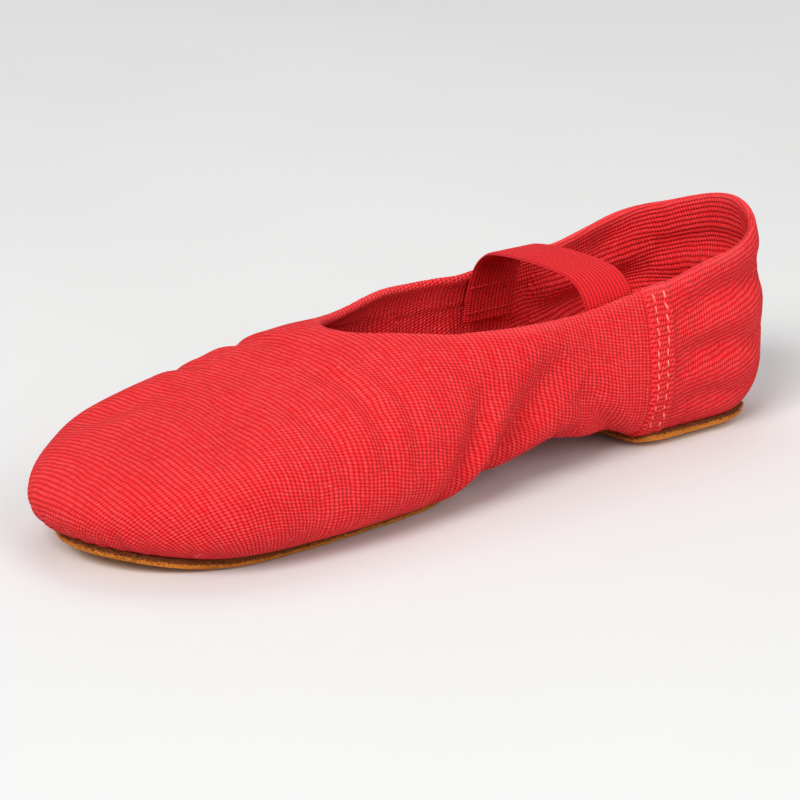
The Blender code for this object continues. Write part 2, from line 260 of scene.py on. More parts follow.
# A layer under the shoe or in it. face and back: how far its face that shows and its hidden one lie above the
# canvas's underside, round: of its face's edge, dip: of its stitched row, ridge: of the seam under it, fray
# and knife: unevenness of its cut edge
Layer = namedtuple("Layer", "face back round dip ridge fray knife")
SUEDE_LAYER = Layer(-GAP - SUEDE, -0.00015, 0.00035, 0.00045, 0.00016, 0.00011, 0.00035)
INSOLE_BACK = CANVAS + INSOLE_GAP
INSOLE_LAYER = Layer(INSOLE_BACK + INSOLE, INSOLE_BACK, 0.0009, 0.00055, 0.00010, 0.00003, 0.0002)
DIP_WIDTH = 0.0008
RIDGE_WIDTH = 0.0010
RIDGE_LENGTH = 0.024
RIDGE_BOW = 0.0024
RELIEF_SIZE = 0.015
RELIEF_SHARE = 0.4
RELIEF_SEED = 23
NOTCH_WIDTH = 0.0016
NOTCH_DEPTH = 1.6
KNIFE_WAVE_SIZE = 0.024
KNIFE_SEED = 22
FRAY_SMOOTHING = 4
FRAY_SEED = 21
WALL_BULGE = 1.2
WALL_SEED = 24
CUT_WIDTH = 0.0004

# Depths of the rings of a layer's face: 0 at its outline, 1 at its stitched row, 2 at its middle
RINGS_OUT = (0.0, 0.02, 0.05, 0.09, 0.15, 0.25, 0.40, 0.55, 0.70, 0.80, 0.87, 0.92, 0.96)
RINGS_IN = (1.0, 1.01, 1.02, 1.035, 1.055, 1.09, 1.14, 1.20, 1.28, 1.36, 1.44, 1.52, 1.60, 1.68, 1.76, 1.84,
            1.92, 2.0)
RINGS_BACK = (0.0, 0.05, 0.25, 0.6, 1.0, 1.3, 1.6, 2.0)
WALL_SHARES = (0.15, 0.3, 0.45, 0.6, 0.75, 0.9)

# The few stitches where a pad's stitched row laps over its start
LAP_STEPS = 12
LAP_START = 0.002
LAP_REACH = 0.44
LAP_ASIDE = 0.0016

# Rows across a sewn end of the elastic: their heights above its end, and half their length in its widths
ELASTIC_ROWS = (0.0025, 0.0090)
ELASTIC_ROW_HALF = 0.42

# Where a corner of the forefoot pad is scuffed to its brown underlayer
SCUFF_PLACE = (0.0118, 0.0150, 0.0)
SCUFF_SIZE = (0.0011, 0.0034, 0.01)

# Fibres of the suede's cut edge: the shares of its height that they grow at, and how they spread and vary
FIBRE_PITCH = 0.00020
FIBRE_LENGTH = 0.00065
FIBRE_THICKNESS = 0.00009
FIBRE_ROWS = (0.02, 0.22, 0.5)
FIBRE_SPREAD = ((-0.6, -0.6, -0.15), (0.6, 0.6, 0.55))
FIBRE_SIZES = (0.35, 1.25)
FIBRE_SEED = 31

# Loose hairs on the canvas: how many to the square metre, and how a hair bows, in its lengths
LINT_DENSITY = 11000
LINT_LENGTH = 0.0016
LINT_THICKNESS = 0.00004
LINT_MIDDLE = (0.6, 0.0, 0.05)
LINT_TIP = (0.8, 0.3, 0.22)
LINT_SIZES = (0.3, 1.2)
LINT_SEED = 41

# Sections of the canvas on each stretch of its run, closest at the throat's end and at the side seam
TOE_SECTIONS = 60
VAMP_SECTIONS = 30
APEX_SECTIONS = 9
SIDE_SECTIONS = 64
SEAM_SECTIONS = 34
QUARTER_SECTIONS = 16
BACK_SECTIONS = 41
APEX_STEP = 0.00005
APEX_MARGIN = 0.001
SEAM_BEFORE = 0.003
SEAM_BEHIND = 0.0085

# Points of such a section up to a share of its way from under the foot to the collar, closest at both ends
UNDER_SHARE, UNDER_STEPS = 0.06, 8
COLLAR_SHARE, WALL_STEPS = 0.96, 60
COLLAR_STEPS = 7

# Steps of the other surfaces and rows
PROFILE_STEPS = 60
RIM_STEPS = 6
PAD_ROUND_STEPS = 280
OUTLINE_STEPS = 400
ROW_STEPS = 60
ELASTIC_STEPS = 130
ELASTIC_WALL_STEPS = 12
ELASTIC_BEND_STEPS = 16
ELASTIC_ACROSS_STEPS = 84
ELASTIC_RISING_STEPS = 40
ELASTIC_ROW_STEPS = 24
THREAD_STEPS, THREAD_SIDES = 6, 7
LINT_STEPS, LINT_SIDES = 5, 3
HOLE_SEGMENTS, HOLE_RINGS = 8, 4
FIBRE_SIDES = 4

MILLIMETRES = 1000
QUARTER_TURN = math.pi / 2
LEFT_TO_RIGHT = (1, -1, 1)

# Half the distance over which a slope is taken, and the least length that a summed normal is divided by
NEAR = 1e-4
LEAST = 1e-12


def blend(a, b, share):
    return a + (b - a) * share


def ease(share):
    """Rises smoothly from 0 to 1 as share goes from 0 to 1."""
    share = np.clip(share, 0.0, 1.0)
    return share * share * (3 - 2 * share)


def bell(distance, width):
    """1 at distance 0, falling smoothly to nothing within about two widths."""
    return np.exp(-(distance / width) ** 2)


def unit(vectors):
    """The same directions with a length of 1."""
    return vectors / np.linalg.norm(vectors, axis=-1, keepdims=True)


def columns(*values):
    """Values side by side, as the coordinates of points or the corners of faces."""
    return np.stack(values, -1)


def run_of(axis, facing):
    """Run of the half-section that starts at an axis place and faces a direction, in radians."""
    radius = np.where(facing < QUARTER_TURN, TOE_ROUND, HEEL_ROUND)
    return TOE_CENTRE - axis + radius * (facing - QUARTER_TURN)


def stand(run):
    """Axis place and facing, in radians, of the half-section at a run."""
    axis = np.clip(TOE_CENTRE - run, HEEL_CENTRE, TOE_CENTRE)
    round_toe = np.minimum(run, 0.0) / TOE_ROUND
    round_heel = np.maximum(run - HEEL_RUN, 0.0) / HEEL_ROUND
    return axis, QUARTER_TURN + round_toe + round_heel


RUNS = np.array([float(run_of(row.axis, math.radians(row.facing))) for row in SECTIONS])


def column_slopes(sizes):
    """Slopes of one column of SECTIONS at its rows, level at the ends and where the column turns."""
    steps = np.diff(sizes) / np.diff(RUNS)
    slopes = np.zeros(len(sizes))
    for index in range(1, len(sizes) - 1):
        before, after = steps[index - 1], steps[index]
        if before * after > 0:
            slopes[index] = 2 * before * after / (before + after)
    return slopes


COLUMNS = {name: np.array([getattr(row, name) for row in SECTIONS]) for name in Section._fields[2:]}
SLOPES = {name: column_slopes(sizes) for name, sizes in COLUMNS.items()}


def last_size(run, column):
    """One size of the last at a run, read smoothly between the rows of SECTIONS."""
    sizes, slopes = COLUMNS[column], SLOPES[column]
    index = np.clip(np.searchsorted(RUNS, run) - 1, 0, len(RUNS) - 2)
    span = RUNS[index + 1] - RUNS[index]
    share = np.clip((run - RUNS[index]) / span, 0.0, 1.0)
    bow = slopes[index] * (1 - share) - slopes[index + 1] * share
    return blend(sizes[index], sizes[index + 1], ease(share)) + share * (1 - share) * span * bow


def opened_share(run):
    """How far the throat has opened: 0 over the toes, 1 from THROAT_DEPTH behind THROAT_PLACE."""
    return np.clip((run - THROAT_RUN) / THROAT_DEPTH, 0.0, 1.0)


def collar_half(run):
    """Half the open width at the collar, which opens as a half ellipse."""
    return last_size(run, "collar") * np.sqrt(1 - (1 - opened_share(run)) ** 2)


def under_height(x):
    """Height of the canvas under the foot's axis: flat on the pads, raised at the arch and the toe."""
    middle = (FOREFOOT.square + HEEL.square) / 2
    half_span = (FOREFOOT.square - HEEL.square) / 2 + ARCH_OVERLAP
    arch = ease(1 - np.abs(x - middle) / half_span)
    spring = ease((x - FOREFOOT.tip + SPRING_START) / SPRING_RUN)
    return SOLE_HEIGHT + ARCH_LIFT * arch + TOE_SPRING * spring


def rounded_under(run, distance, x):
    """Height of the canvas's underside at a plan distance from the axis, where it rounds up to the side."""
    reach = last_size(run, "reach")
    flat = FLAT_SHARE * reach
    outward = np.clip((distance - flat) / (reach - flat), 0.0, 1.0)
    return blend(last_size(run, "widest"), under_height(x), np.sqrt(1 - outward ** 2))


def sole_height(x, y):
    """Height of the canvas's underside at a place in plan."""
    axis = np.clip(x, HEEL_CENTRE, TOE_CENTRE)
    facing = np.where(axis == x, QUARTER_TURN, np.arctan2(np.abs(y), x - axis))
    return rounded_under(run_of(axis, facing), np.hypot(x - axis, y), x)


def from_sole(x, y, height):
    """Points that lie this far above the canvas's underside, measured square to it."""
    along = (sole_height(x + NEAR, y) - sole_height(x - NEAR, y)) / (2 * NEAR)
    across = (sole_height(x, y + NEAR) - sole_height(x, y - NEAR)) / (2 * NEAR)
    size = np.sqrt(along ** 2 + across ** 2 + 1)
    return columns(x - along / size * height, y - across / size * height, sole_height(x, y) + height / size)


def hole_half(run):
    """Distance from the axis to the hole left underneath, inside the margin that is sewn to a pad."""
    axis, facing = stand(run)
    halves = []
    for pad in (FOREFOOT, HEEL):
        half = pad.width / 2 - SEWN_MARGIN
        to_tip = abs(pad.tip - pad.centre) - SEWN_MARGIN
        to_square = abs(pad.square - pad.centre) - SEWN_MARGIN
        swung = 1 / np.hypot(np.cos(facing) / to_tip, np.sin(facing) / half)
        off_centre = np.minimum(np.abs(axis - pad.centre) / to_square, 1.0)
        straight = half * np.sqrt(1 - off_centre ** 2)
        halves.append(np.where((run > 0) & (run < HEEL_RUN), straight, swung))
    return np.where(axis > 0, *halves)


def profiles(run):
    """Plan distances and heights along the half-sections at these runs, from under the foot to the collar."""
    run = np.asarray(run, float)[:, None]
    share = np.linspace(0.0, 1.0, PROFILE_STEPS)[None, :]
    axis, facing = stand(run)
    reach, widest = last_size(run, "reach"), last_size(run, "widest")
    flat = FLAT_SHARE * reach
    flat_part = blend(hole_half(run), flat, share[:, :-1])
    round_part = blend(flat, reach, np.sin(QUARTER_TURN * share[:, :-1]))
    under = np.concatenate([flat_part, round_part], 1)
    low = rounded_under(run, under, axis + under * np.cos(facing))
    collar = collar_half(run)
    end = np.arccos((collar / reach) ** (FULLNESS / 2))
    side = reach * np.cos(end * share) ** (2 / FULLNESS)
    side[:, -1:] = collar
    crown = INSTEP_HEIGHT - VAMP_SLOPE * (axis + side * np.cos(facing) - THROAT_PLACE)
    on_crown = widest + (crown - widest) * np.sin(end) ** (2 / FULLNESS)
    top = blend(on_crown, last_size(run, "rim"), ease(opened_share(run)))
    high = widest + (top - widest) * (np.sin(end * share) / np.sin(end)) ** (2 / FULLNESS)
    return np.concatenate([under, side], 1), np.concatenate([low, high], 1)


def gone_along(points):
    """How far along a polyline each of its points lies."""
    return np.concatenate([[0.0], np.cumsum(np.linalg.norm(np.diff(points, axis=0), axis=1))])


def skin(run, girth_of):
    """Outer face of the canvas's left side. girth_of gives a row's girths from the girths of its two ends."""
    distances, heights = profiles(run)
    axis, facing = stand(run)
    collar = collar_half(run)
    points, girths = [], []
    for row in range(len(run)):
        steps = np.hypot(np.diff(distances[row]), np.diff(heights[row]))
        climbed = np.concatenate([[0.0], np.cumsum(steps)])
        girth = girth_of(row, collar[row] + climbed[-1], collar[row])
        place = collar[row] + climbed[-1] - girth
        distance = np.interp(place, climbed, distances[row])
        height = np.interp(place, climbed, heights[row])
        ahead, aside = math.cos(facing[row]), math.sin(facing[row])
        points.append(columns(axis[row] + distance * ahead, distance * aside, height))
        girths.append(girth)
    return np.array(points), np.array(girths)


def evenly(points, count):
    """A polyline of this many points, evenly spaced along another one."""
    gone = gone_along(points)
    wanted = np.linspace(0.0, gone[-1], count)
    return columns(*(np.interp(wanted, gone, column) for column in points.T))


def waves(points, size, seed):
    """A smooth field of gentle waves of about this size, between about -1 and 1."""
    draw = np.random.default_rng(seed)
    total = np.zeros(points.shape[:-1])
    for _ in range(WAVE_COUNT):
        direction = draw.normal(size=3)
        direction /= np.linalg.norm(direction)
        turn = points @ direction * (2 * math.pi / (size * draw.uniform(*WAVE_SPREAD)))
        total += np.sin(turn + draw.uniform(0, 2 * math.pi))
    return total / (WAVE_COUNT / 2)


def plan_waves(place, size, seed):
    """The same field at places in plan."""
    return waves(np.column_stack([place, np.zeros(len(place))]), size, seed)


def distance_to(points, places):
    """Distance from every point to the nearest of some places."""
    tree = KDTree(len(places))
    for index, place in enumerate(places):
        tree.insert(place, index)
    tree.balance()
    gaps = [tree.find(point)[2] for point in points.reshape(-1, 3)]
    return np.array(gaps).reshape(points.shape[:-1])


def vertex_normals(points, faces):
    """Outward directions at the points of a mesh of four-cornered faces."""
    corners = points[faces]
    normals = np.cross(corners[:, 2] - corners[:, 0], corners[:, 3] - corners[:, 1])
    total = np.zeros_like(points)
    for corner in range(4):
        np.add.at(total, faces[:, corner], normals)
    return total / np.maximum(np.linalg.norm(total, axis=1, keepdims=True), LEAST)


def face_corners(values, after):
    """The values at the four corners of every face of a strip, whose rows each have a row after them."""
    return np.stack([values[:, :-1], values[after, :-1], values[after, 1:], values[:, 1:]], 2)


def add_object(name, data):
    """An object linked into the scene."""
    item = bpy.data.objects.new(name, data)
    bpy.context.scene.collection.objects.link(item)
    return item


def make_piece(name, points, faces, uvs, values):
    """A smooth mesh object with its thread map and its values. A face that names a point twice becomes a
    triangle, and unused points are left out."""
    used, compact = np.unique(faces, return_inverse=True)
    compact = compact.reshape(faces.shape)
    kept = compact != np.roll(compact, 1, axis=1)
    mesh = bpy.data.meshes.new(name)
    corners = [face[keep].tolist() for face, keep in zip(compact, kept)]
    mesh.from_pydata(points[used].tolist(), [], corners)
    mesh.uv_layers.new(name="thread").data.foreach_set("uv", uvs[kept].astype(np.float32).ravel())
    for label, value in values.items():
        attribute = mesh.attributes.new(label, "FLOAT", "POINT")
        attribute.data.foreach_set("value", np.asarray(value)[used].astype(np.float32))
    mesh.shade_smooth()
    return add_object(name, mesh)


def surface_of(piece):
    """A search tree of a finished piece's faces."""
    points = [point.co for point in piece.data.vertices]
    return BVHTree.FromPolygons(points, [face.vertices for face in piece.data.polygons])


# Upper


def upper_runs():
    """Runs of the canvas's half-sections."""
    apex = THROAT_RUN + APEX_STEP * np.arange(APEX_SECTIONS) ** 2
    seam_start, seam_end = SEAM_RUN - SEAM_BEFORE, SEAM_RUN + SEAM_BEHIND
    return np.concatenate([
        np.linspace(TOE_RUN, 0.0, TOE_SECTIONS, endpoint=False),
        np.linspace(0.0, THROAT_RUN, VAMP_SECTIONS, endpoint=False),
        apex,
        np.linspace(apex[-1] + APEX_MARGIN, seam_start, SIDE_SECTIONS, endpoint=False),
        np.linspace(seam_start, seam_end, SEAM_SECTIONS, endpoint=False),
        np.linspace(seam_end, HEEL_RUN, QUARTER_SECTIONS, endpoint=False),
        np.linspace(HEEL_RUN, BACK_RUN, BACK_SECTIONS),
    ])


def upper_shares():
    """Shares of the way from under the foot to the collar."""
    return np.concatenate([
        np.linspace(0.0, UNDER_SHARE, UNDER_STEPS, endpoint=False),
        np.linspace(UNDER_SHARE, COLLAR_SHARE, WALL_STEPS, endpoint=False),
        np.linspace(COLLAR_SHARE, 1.0, COLLAR_STEPS),
    ])


def crease_field(points):
    """How far the listed creases sink the canvas at these points."""
    flat = points.reshape(-1, 3)
    sunk = np.zeros(len(flat))
    shares = np.linspace(0.0, 1.0, CREASE_STEPS)
    share = shares[:, None]
    for crease in CREASES:
        start, middle, end = (np.array(point) for point in (crease.start, crease.middle, crease.end))
        bend = 2 * middle - (start + end) / 2
        route = (1 - share) ** 2 * start + 2 * share * (1 - share) * bend + share ** 2 * end
        path, _ = skin(route[:, 0], lambda row, low, high: route[row:row + 1, 1])
        path = path[:, 0] * (1, crease.side, 1)
        gaps = np.linalg.norm(flat[:, None, :] - path[None, :, :], axis=2)
        nearest = gaps.argmin(1)
        across = gaps[np.arange(len(flat)), nearest] / crease.width
        shape = (1 - CREASE_SHOULDER * across ** 2) * np.exp(-across ** 2)
        sunk += crease.depth * shape * np.sin(math.pi * shares[nearest]) ** CREASE_FADE
    return sunk.reshape(points.shape[:-1])


def seam_field(points, runs):
    """How far the side seams and the arch seam lift the canvas."""
    behind = runs[:, None] - SEAM_RUN
    raised = ease((behind + SEAM_LEAD) / SEAM_RISE)
    lift = SEAM_RAISE * raised * (1 - ease((behind - SEAM_BAND) / SEAM_FALL))
    lift = lift - SEAM_GROOVE * bell(behind, SEAM_GROOVE_WIDTH)
    for row in SEAM_ROWS:
        lift = lift - ROW_DIP * bell(behind - row, ROW_DIP_WIDTH)
    x, aside, height = points[..., 0], np.abs(points[..., 1]), points[..., 2]
    in_arch = (x < FOREFOOT.square) & (x > HEEL.square)
    below = in_arch & (height < SOLE_HEIGHT + ARCH_LIFT + ARCH_HEADROOM)
    arch = ARCH_RAISE * (1 - ease((aside - ARCH_BAND) / ARCH_FALL))
    arch = arch - SEAM_GROOVE * bell(aside, SEAM_GROOVE_WIDTH)
    arch = arch - ROW_DIP * bell(aside - ARCH_ROW, ROW_DIP_WIDTH)
    return lift + np.where(below, arch, 0.0)


def soft_field(points, runs):
    """Waves of the slack canvas and puckers where the toe is drawn in, calm where a pad is sewn on."""
    calm = ease((points[..., 2] - SOLE_HEIGHT) / CALM_HEIGHT)
    field = WAVE * waves(points, WAVE_SIZE, WAVE_SEED) + RIPPLE * waves(points, RIPPLE_SIZE, RIPPLE_SEED)
    uneven = waves(points, PUCKER_UNEVEN_SIZE, PUCKER_SEED)
    pucker = np.cos(2 * math.pi * runs[:, None] / PUCKER_PITCH + PUCKER_WANDER * uneven)
    at_toe = ease((points[..., 0] - PUCKER_START) / PUCKER_RUN)
    near_pad = bell(points[..., 2] - PUCKER_HEIGHT, PUCKER_DEPTH) * at_toe
    return (field + PUCKER * pucker * near_pad * (PUCKER_EVEN + PUCKER_UNEVEN * uneven)) * calm


def collar_sway(points, to_edge):
    """How far the slack collar leans outward and rises, which it doesn't where the elastic holds it. The
    middle of the heel's back rises to a soft peak."""
    free = ease((np.abs(points[..., 0] - ELASTIC_PLACE) - ELASTIC_WIDTH / 2) / ELASTIC_WIDTH)
    near = bell(to_edge, COLLAR_DEPTH)
    sway = COLLAR_SWAY * free * near
    behind = ease((HEEL_CENTRE - points[..., 0]) / HEEL_ROUND)
    peak = HEEL_PEAK * near * behind * bell(points[..., 1], HEEL_PEAK_WIDTH)
    lean = sway * waves(points, COLLAR_WAVE, LEAN_SEED)
    return lean, sway * waves(points, COLLAR_WAVE, RISE_SEED) + peak


def rolled_rim(edge, inner_edge, outward, along):
    """Points that roll the collar's edge over from the outer face to the inner one."""
    upward = unit(np.cross(outward, along))
    middle = (edge + inner_edge) / 2
    across = edge - middle
    upward *= np.linalg.norm(across, axis=1, keepdims=True)
    turns = np.linspace(0.0, math.pi, RIM_STEPS + 1)[1:-1]
    return np.stack([middle + across * math.cos(turn) + upward * math.sin(turn) for turn in turns], 1)


def make_upper():
    """The canvas shell: outer face, rolled collar edge and inner face as one closed mesh."""
    runs, shares = upper_runs(), upper_shares()
    left, girths = skin(runs, lambda row, low, high: blend(low, high, shares))
    last_row, last_column = len(runs) - 1, len(shares) - 1
    points = np.concatenate([left, left[-2:0:-1] * LEFT_TO_RIGHT])
    ring = len(points)
    rows = np.arange(ring)
    twin, after = (ring - rows) % ring, (rows + 1) % ring
    row_of = np.concatenate([rows[:last_row + 1], np.arange(last_row - 1, 0, -1)])
    ring_runs = runs[row_of]
    on_right = rows > last_row

    # Points that the two sides share are one point
    ids = np.arange(points[..., 0].size).reshape(ring, -1)
    closed = ring_runs <= THROAT_RUN
    whole = hole_half(ring_runs) == 0
    pole = int(np.searchsorted(runs, 0.0))
    ids[on_right & closed, last_column] = ids[twin[on_right & closed], last_column]
    ids[ring_runs < 0, last_column] = ids[pole, last_column]
    ids[on_right & whole, 0] = ids[twin[on_right & whole], 0]

    # The smooth last becomes cloth, and the cloth gets its seams and its hem
    outer_faces = face_corners(ids, after).reshape(-1, 4)
    normals = vertex_normals(points.reshape(-1, 3), outer_faces)[ids]
    to_edge = distance_to(points, points[~closed, last_column])
    lean, rise = collar_sway(points, to_edge)
    soft = soft_field(points, ring_runs) - crease_field(points) + lean
    cloth = points + normals * soft[..., None] + (0, 0, 1) * rise[..., None]
    normals = vertex_normals(cloth.reshape(-1, 3), outer_faces)[ids]
    hem = HEM * (1 - ease((to_edge - HEM_DEPTH) / HEM_STEP))
    outer = cloth + normals * seam_field(points, ring_runs)[..., None]
    inner = cloth - normals * (CANVAS + hem)[..., None]

    # The collar's edge runs from one side to the other at the throat's end
    edge = outer[:, last_column]
    before, behind = edge[rows - 1], edge[after]
    apex = int(np.searchsorted(runs, THROAT_RUN))
    for index in (apex, twin[apex]):
        before[index], behind[index] = edge[twin[apex + 1]], edge[apex + 1]
    rim = rolled_rim(edge, inner[:, last_column], normals[:, last_column], behind - before)
    rim_ids = ids.size * 2 + np.arange(rim[..., 0].size).reshape(ring, -1)
    rim_ids[twin[apex]] = rim_ids[apex]

    # One strip runs up the outer face, over the rim and down the inner face, and closes at the hole's edge
    around = np.concatenate([ids, rim_ids, ids[:, ::-1] + ids.size, ids[:, :1]], 1)
    faces = face_corners(around, after)
    kept = np.ones(faces.shape[:2], bool)
    kept[closed & closed[after], last_column:last_column + RIM_STEPS] = False
    kept[whole & whole[after], -1] = False

    front, heel = thread_map(runs, girths, row_of, np.where(on_right, -1, 1))
    in_heel = (ring_runs >= SEAM_RUN) & (ring_runs[after] >= SEAM_RUN)
    uvs = np.where(in_heel[:, None, None, None], face_corners(heel, after), face_corners(front, after))
    # A painted highlight: the canvas is painted paler near the collar's edge and all over its rolled rim
    crest_highlight = bell(to_edge, EDGE_HIGHLIGHT_WIDTH).ravel()
    lit_edge = np.concatenate([crest_highlight, crest_highlight, np.ones(rim[..., 0].size)])
    every = np.concatenate([part.reshape(-1, 3) for part in (outer, inner, rim)])
    return make_piece("canvas_upper", every, faces[kept], uvs[kept], {"edge_highlight": lit_edge})


def thread_map(runs, girths, row_of, side):
    """Where the yarns of the front piece and of the heel piece lie, in millimetres: the first number goes
    along a rib and the second across the ribs. The front piece's ribs go round the foot, and its toe is laid
    out flat like a fan. The heel piece's go along it. Both are carried up to the crest of the collar's edge,
    and back down inside."""
    axis, facing = stand(runs)
    over = 1 - np.abs(np.linspace(-1.0, 1.0, RIM_STEPS + 1))[1:-1]
    up_rim = over * QUARTER_TURN * (CANVAS + HEM) / 2
    girths = np.concatenate([girths, girths[:, -1:] - up_rim, girths[:, ::-1], girths[:, :1]], 1)
    round_foot = girths * np.sin(facing)[:, None]
    along_foot = axis[:, None] + girths * np.cos(facing)[:, None]
    front = columns(round_foot[row_of] * side[:, None], along_foot[row_of])
    past_back = np.where(side > 0, runs[row_of], 2 * BACK_RUN - runs[row_of])
    heel = columns(np.broadcast_to(past_back[:, None], girths[row_of].shape), girths[row_of])
    return front * MILLIMETRES, heel * MILLIMETRES


# Pads and insoles


def pad_half(pad, x):
    """Half a pad's width: an ellipse at its tip, a taper to its square edge, and round corners there."""
    share = (x - pad.square) / (pad.tip - pad.square)
    beyond = np.clip((share - pad.widest) / (1 - pad.widest), 0.0, 1.0)
    taper = np.clip(1 - share / pad.widest, 0.0, 1.0) ** PAD_TAPER
    into_corner = np.maximum(pad.corner - np.abs(x - pad.square), 0.0)
    corner = pad.corner - np.sqrt(pad.corner ** 2 - into_corner ** 2)
    return blend(pad.width, pad.square_width, taper) / 2 * np.sqrt(1 - beyond ** 2) - corner


def pad_outline(pad, count):
    """A pad's outline in plan, counter-clockwise from the middle of its square edge, evenly spaced."""
    turn = np.linspace(0.0, math.pi, OUTLINE_STEPS)
    x = blend(pad.square, pad.tip, (1 - np.cos(turn)) / 2)
    half = np.vstack([[pad.square, 0.0], columns(x, pad_half(pad, x))])
    loop = np.vstack([half, half[-2::-1] * (1, -1)])
    if pad.tip > pad.square:
        loop = loop[::-1]
    return evenly(loop, count + 1)[:-1]


def inward_of(pad):
    """1 where a pad's tip points to the toe, -1 where it points to the heel."""
    return math.copysign(1.0, pad.tip - pad.square)


def smaller(pad, tip, square, width, corner):
    """A pad drawn in from another at its tip, its square edge and its sides."""
    inward = inward_of(pad)
    return pad._replace(tip=pad.tip - inward * tip, square=pad.square + inward * square,
                        width=pad.width - 2 * width, square_width=pad.square_width - 2 * width, corner=corner)


PAD_ROW = {"forefoot": smaller(FOREFOOT, tip=0.0056, square=0.0088, width=0.0062, corner=0.0012),
           "heel": smaller(HEEL, tip=0.0056, square=0.0064, width=0.0058, corner=0.0012)}


def cut_outline(pad, layer):
    """A pad's outline as its knife left it: a little wavy and ragged, and notched where the arch seam lies
    under it. With it come the outward directions and the pad's middle."""
    outline = pad_outline(pad, PAD_ROUND_STEPS)
    middle = np.array([(pad.square + pad.tip) / 2, 0.0])
    outward = unit(outline - middle)
    draw = np.random.default_rng(FRAY_SEED)
    three_rounds = np.tile(draw.normal(size=PAD_ROUND_STEPS), 3)
    ragged = np.convolve(three_rounds, np.ones(FRAY_SMOOTHING) / FRAY_SMOOTHING, "same")
    ragged = ragged[PAD_ROUND_STEPS:-PAD_ROUND_STEPS]
    wavy = plan_waves(outline, KNIFE_WAVE_SIZE, KNIFE_SEED)
    notch = bell(np.linalg.norm(outline - (pad.square, 0.0), axis=1), NOTCH_WIDTH)
    shift = layer.fray * ragged + layer.knife * (wavy - NOTCH_DEPTH * notch)
    return outline + outward * shift[:, None], outward, middle


def face_relief(pad, layer, place, to_row):
    """How far a layer's face draws back, and the ridge that the arch seam under it leaves standing, which
    gets a painted highlight.
    """
    inward = np.abs(place[:, 0] - pad.square)
    aside = place[:, 1] - RIDGE_BOW * (inward / RIDGE_LENGTH / 2) ** 2
    crest_highlight = bell(aside, RIDGE_WIDTH) * (1 - ease((inward - RIDGE_LENGTH) / RIDGE_LENGTH))
    uneven = plan_waves(place, RELIEF_SIZE, RELIEF_SEED)
    drawn = layer.ridge * (1 - crest_highlight) + RELIEF_SHARE * layer.ridge * (1 + uneven)
    return drawn + layer.dip * bell(to_row, DIP_WIDTH), crest_highlight


def make_layer(name, pad, row, layer):
    """A sheet in a pad's outline between two heights from the canvas's underside, dipped along its row."""
    outline, outward, middle = cut_outline(pad, layer)
    stitched = pad_outline(row, PAD_ROUND_STEPS)
    deeper = math.copysign(1.0, layer.back - layer.face)
    draw = np.random.default_rng(WALL_SEED)
    rings, cut, rise, highlight = [], [], [], []

    def add_ring(place, height, cut_here, rise_here, highlight_here=0.0):
        rings.append(from_sole(place[:, 0], place[:, 1], height + np.zeros(PAD_ROUND_STEPS)))
        for values, value in ((cut, cut_here), (rise, rise_here), (highlight, highlight_here)):
            values.append(value + np.zeros(PAD_ROUND_STEPS))

    def plan(depth):
        return blend(outline, stitched, depth) if depth <= 1 else blend(stitched, middle, depth - 1)

    for depth in (RINGS_OUT + RINGS_IN)[::-1]:
        place = plan(depth)
        inset = np.linalg.norm(place - outline, axis=1)
        rounding = layer.round - np.sqrt(layer.round ** 2 - np.maximum(layer.round - inset, 0.0) ** 2)
        drawn, crest_highlight = face_relief(pad, layer, place, np.linalg.norm(place - stitched, axis=1))
        add_ring(place, layer.face + deeper * (rounding + drawn), bell(inset, CUT_WIDTH), 0.0, crest_highlight)
    for share in WALL_SHARES:
        bulge = layer.fray * (WALL_BULGE * math.sin(share * math.pi) + draw.normal(size=PAD_ROUND_STEPS))
        height = blend(layer.face + deeper * layer.round, layer.back, share)
        add_ring(outline + outward * bulge[:, None], height, 1.0, share)
    for depth in RINGS_BACK:
        add_ring(plan(depth), layer.back, float(depth == 0), 1.0)

    points = np.array(rings)
    ids = np.arange(points[..., 0].size).reshape(points.shape[:2])
    ids[0], ids[-1] = ids[0, 0], ids[-1, 0]
    beside = np.roll(ids, -1, axis=1)
    faces = columns(ids[:-1], beside[:-1], beside[1:], ids[1:]).reshape(-1, 4)
    if deeper < 0:
        faces = faces[:, ::-1]
    flat = points.reshape(-1, 3)
    values = {"cut": np.ravel(cut), "rise": np.ravel(rise), "crest_highlight": np.ravel(highlight)}
    return make_piece(name, flat, faces, flat[faces][..., :2] * MILLIMETRES, values)


# Elastic


def elastic_route():
    """Middle line of the elastic: up inside one wall, over the instep, down inside the other."""
    run = TOE_CENTRE - ELASTIC_PLACE
    distances, heights = profiles(np.array([run]))
    rising = heights[0] > last_size(run, "widest")
    top = heights[0, -1]
    inside = CANVAS + HEM + INSOLE_GAP + GAP + ELASTIC / 2
    height = np.linspace(top - ELASTIC_SEWN, top, ELASTIC_WALL_STEPS)
    wall = np.interp(height, heights[0][rising], distances[0][rising]) - inside
    start = math.atan2(wall[-2] - wall[-1], height[-1] - height[-2])
    turn = np.linspace(start, ELASTIC_TURN, ELASTIC_BEND_STEPS)[1:]
    bend = columns(wall[-1] - ELASTIC_BEND * (math.cos(start) - np.cos(turn)),
                   top + ELASTIC_BEND * (np.sin(turn) - math.sin(start)))
    shoulder, shoulder_height = bend[-1]
    share = np.linspace(0.0, 1.0, ELASTIC_BEND_STEPS)[1:]
    climb = shoulder / math.tan(ELASTIC_TURN) * (share - share ** 2 / 2)
    crown = columns(shoulder * (1 - share), shoulder_height + climb)
    half = np.concatenate([columns(wall, height), bend, crown])
    lean = ELASTIC_PLACE + ELASTIC_LEAN * ease(1 - half[:, 0] / wall[-1])
    half = np.concatenate([lean[:, None], half], 1)
    return evenly(np.concatenate([half, half[-2::-1] * LEFT_TO_RIGHT]), ELASTIC_STEPS)


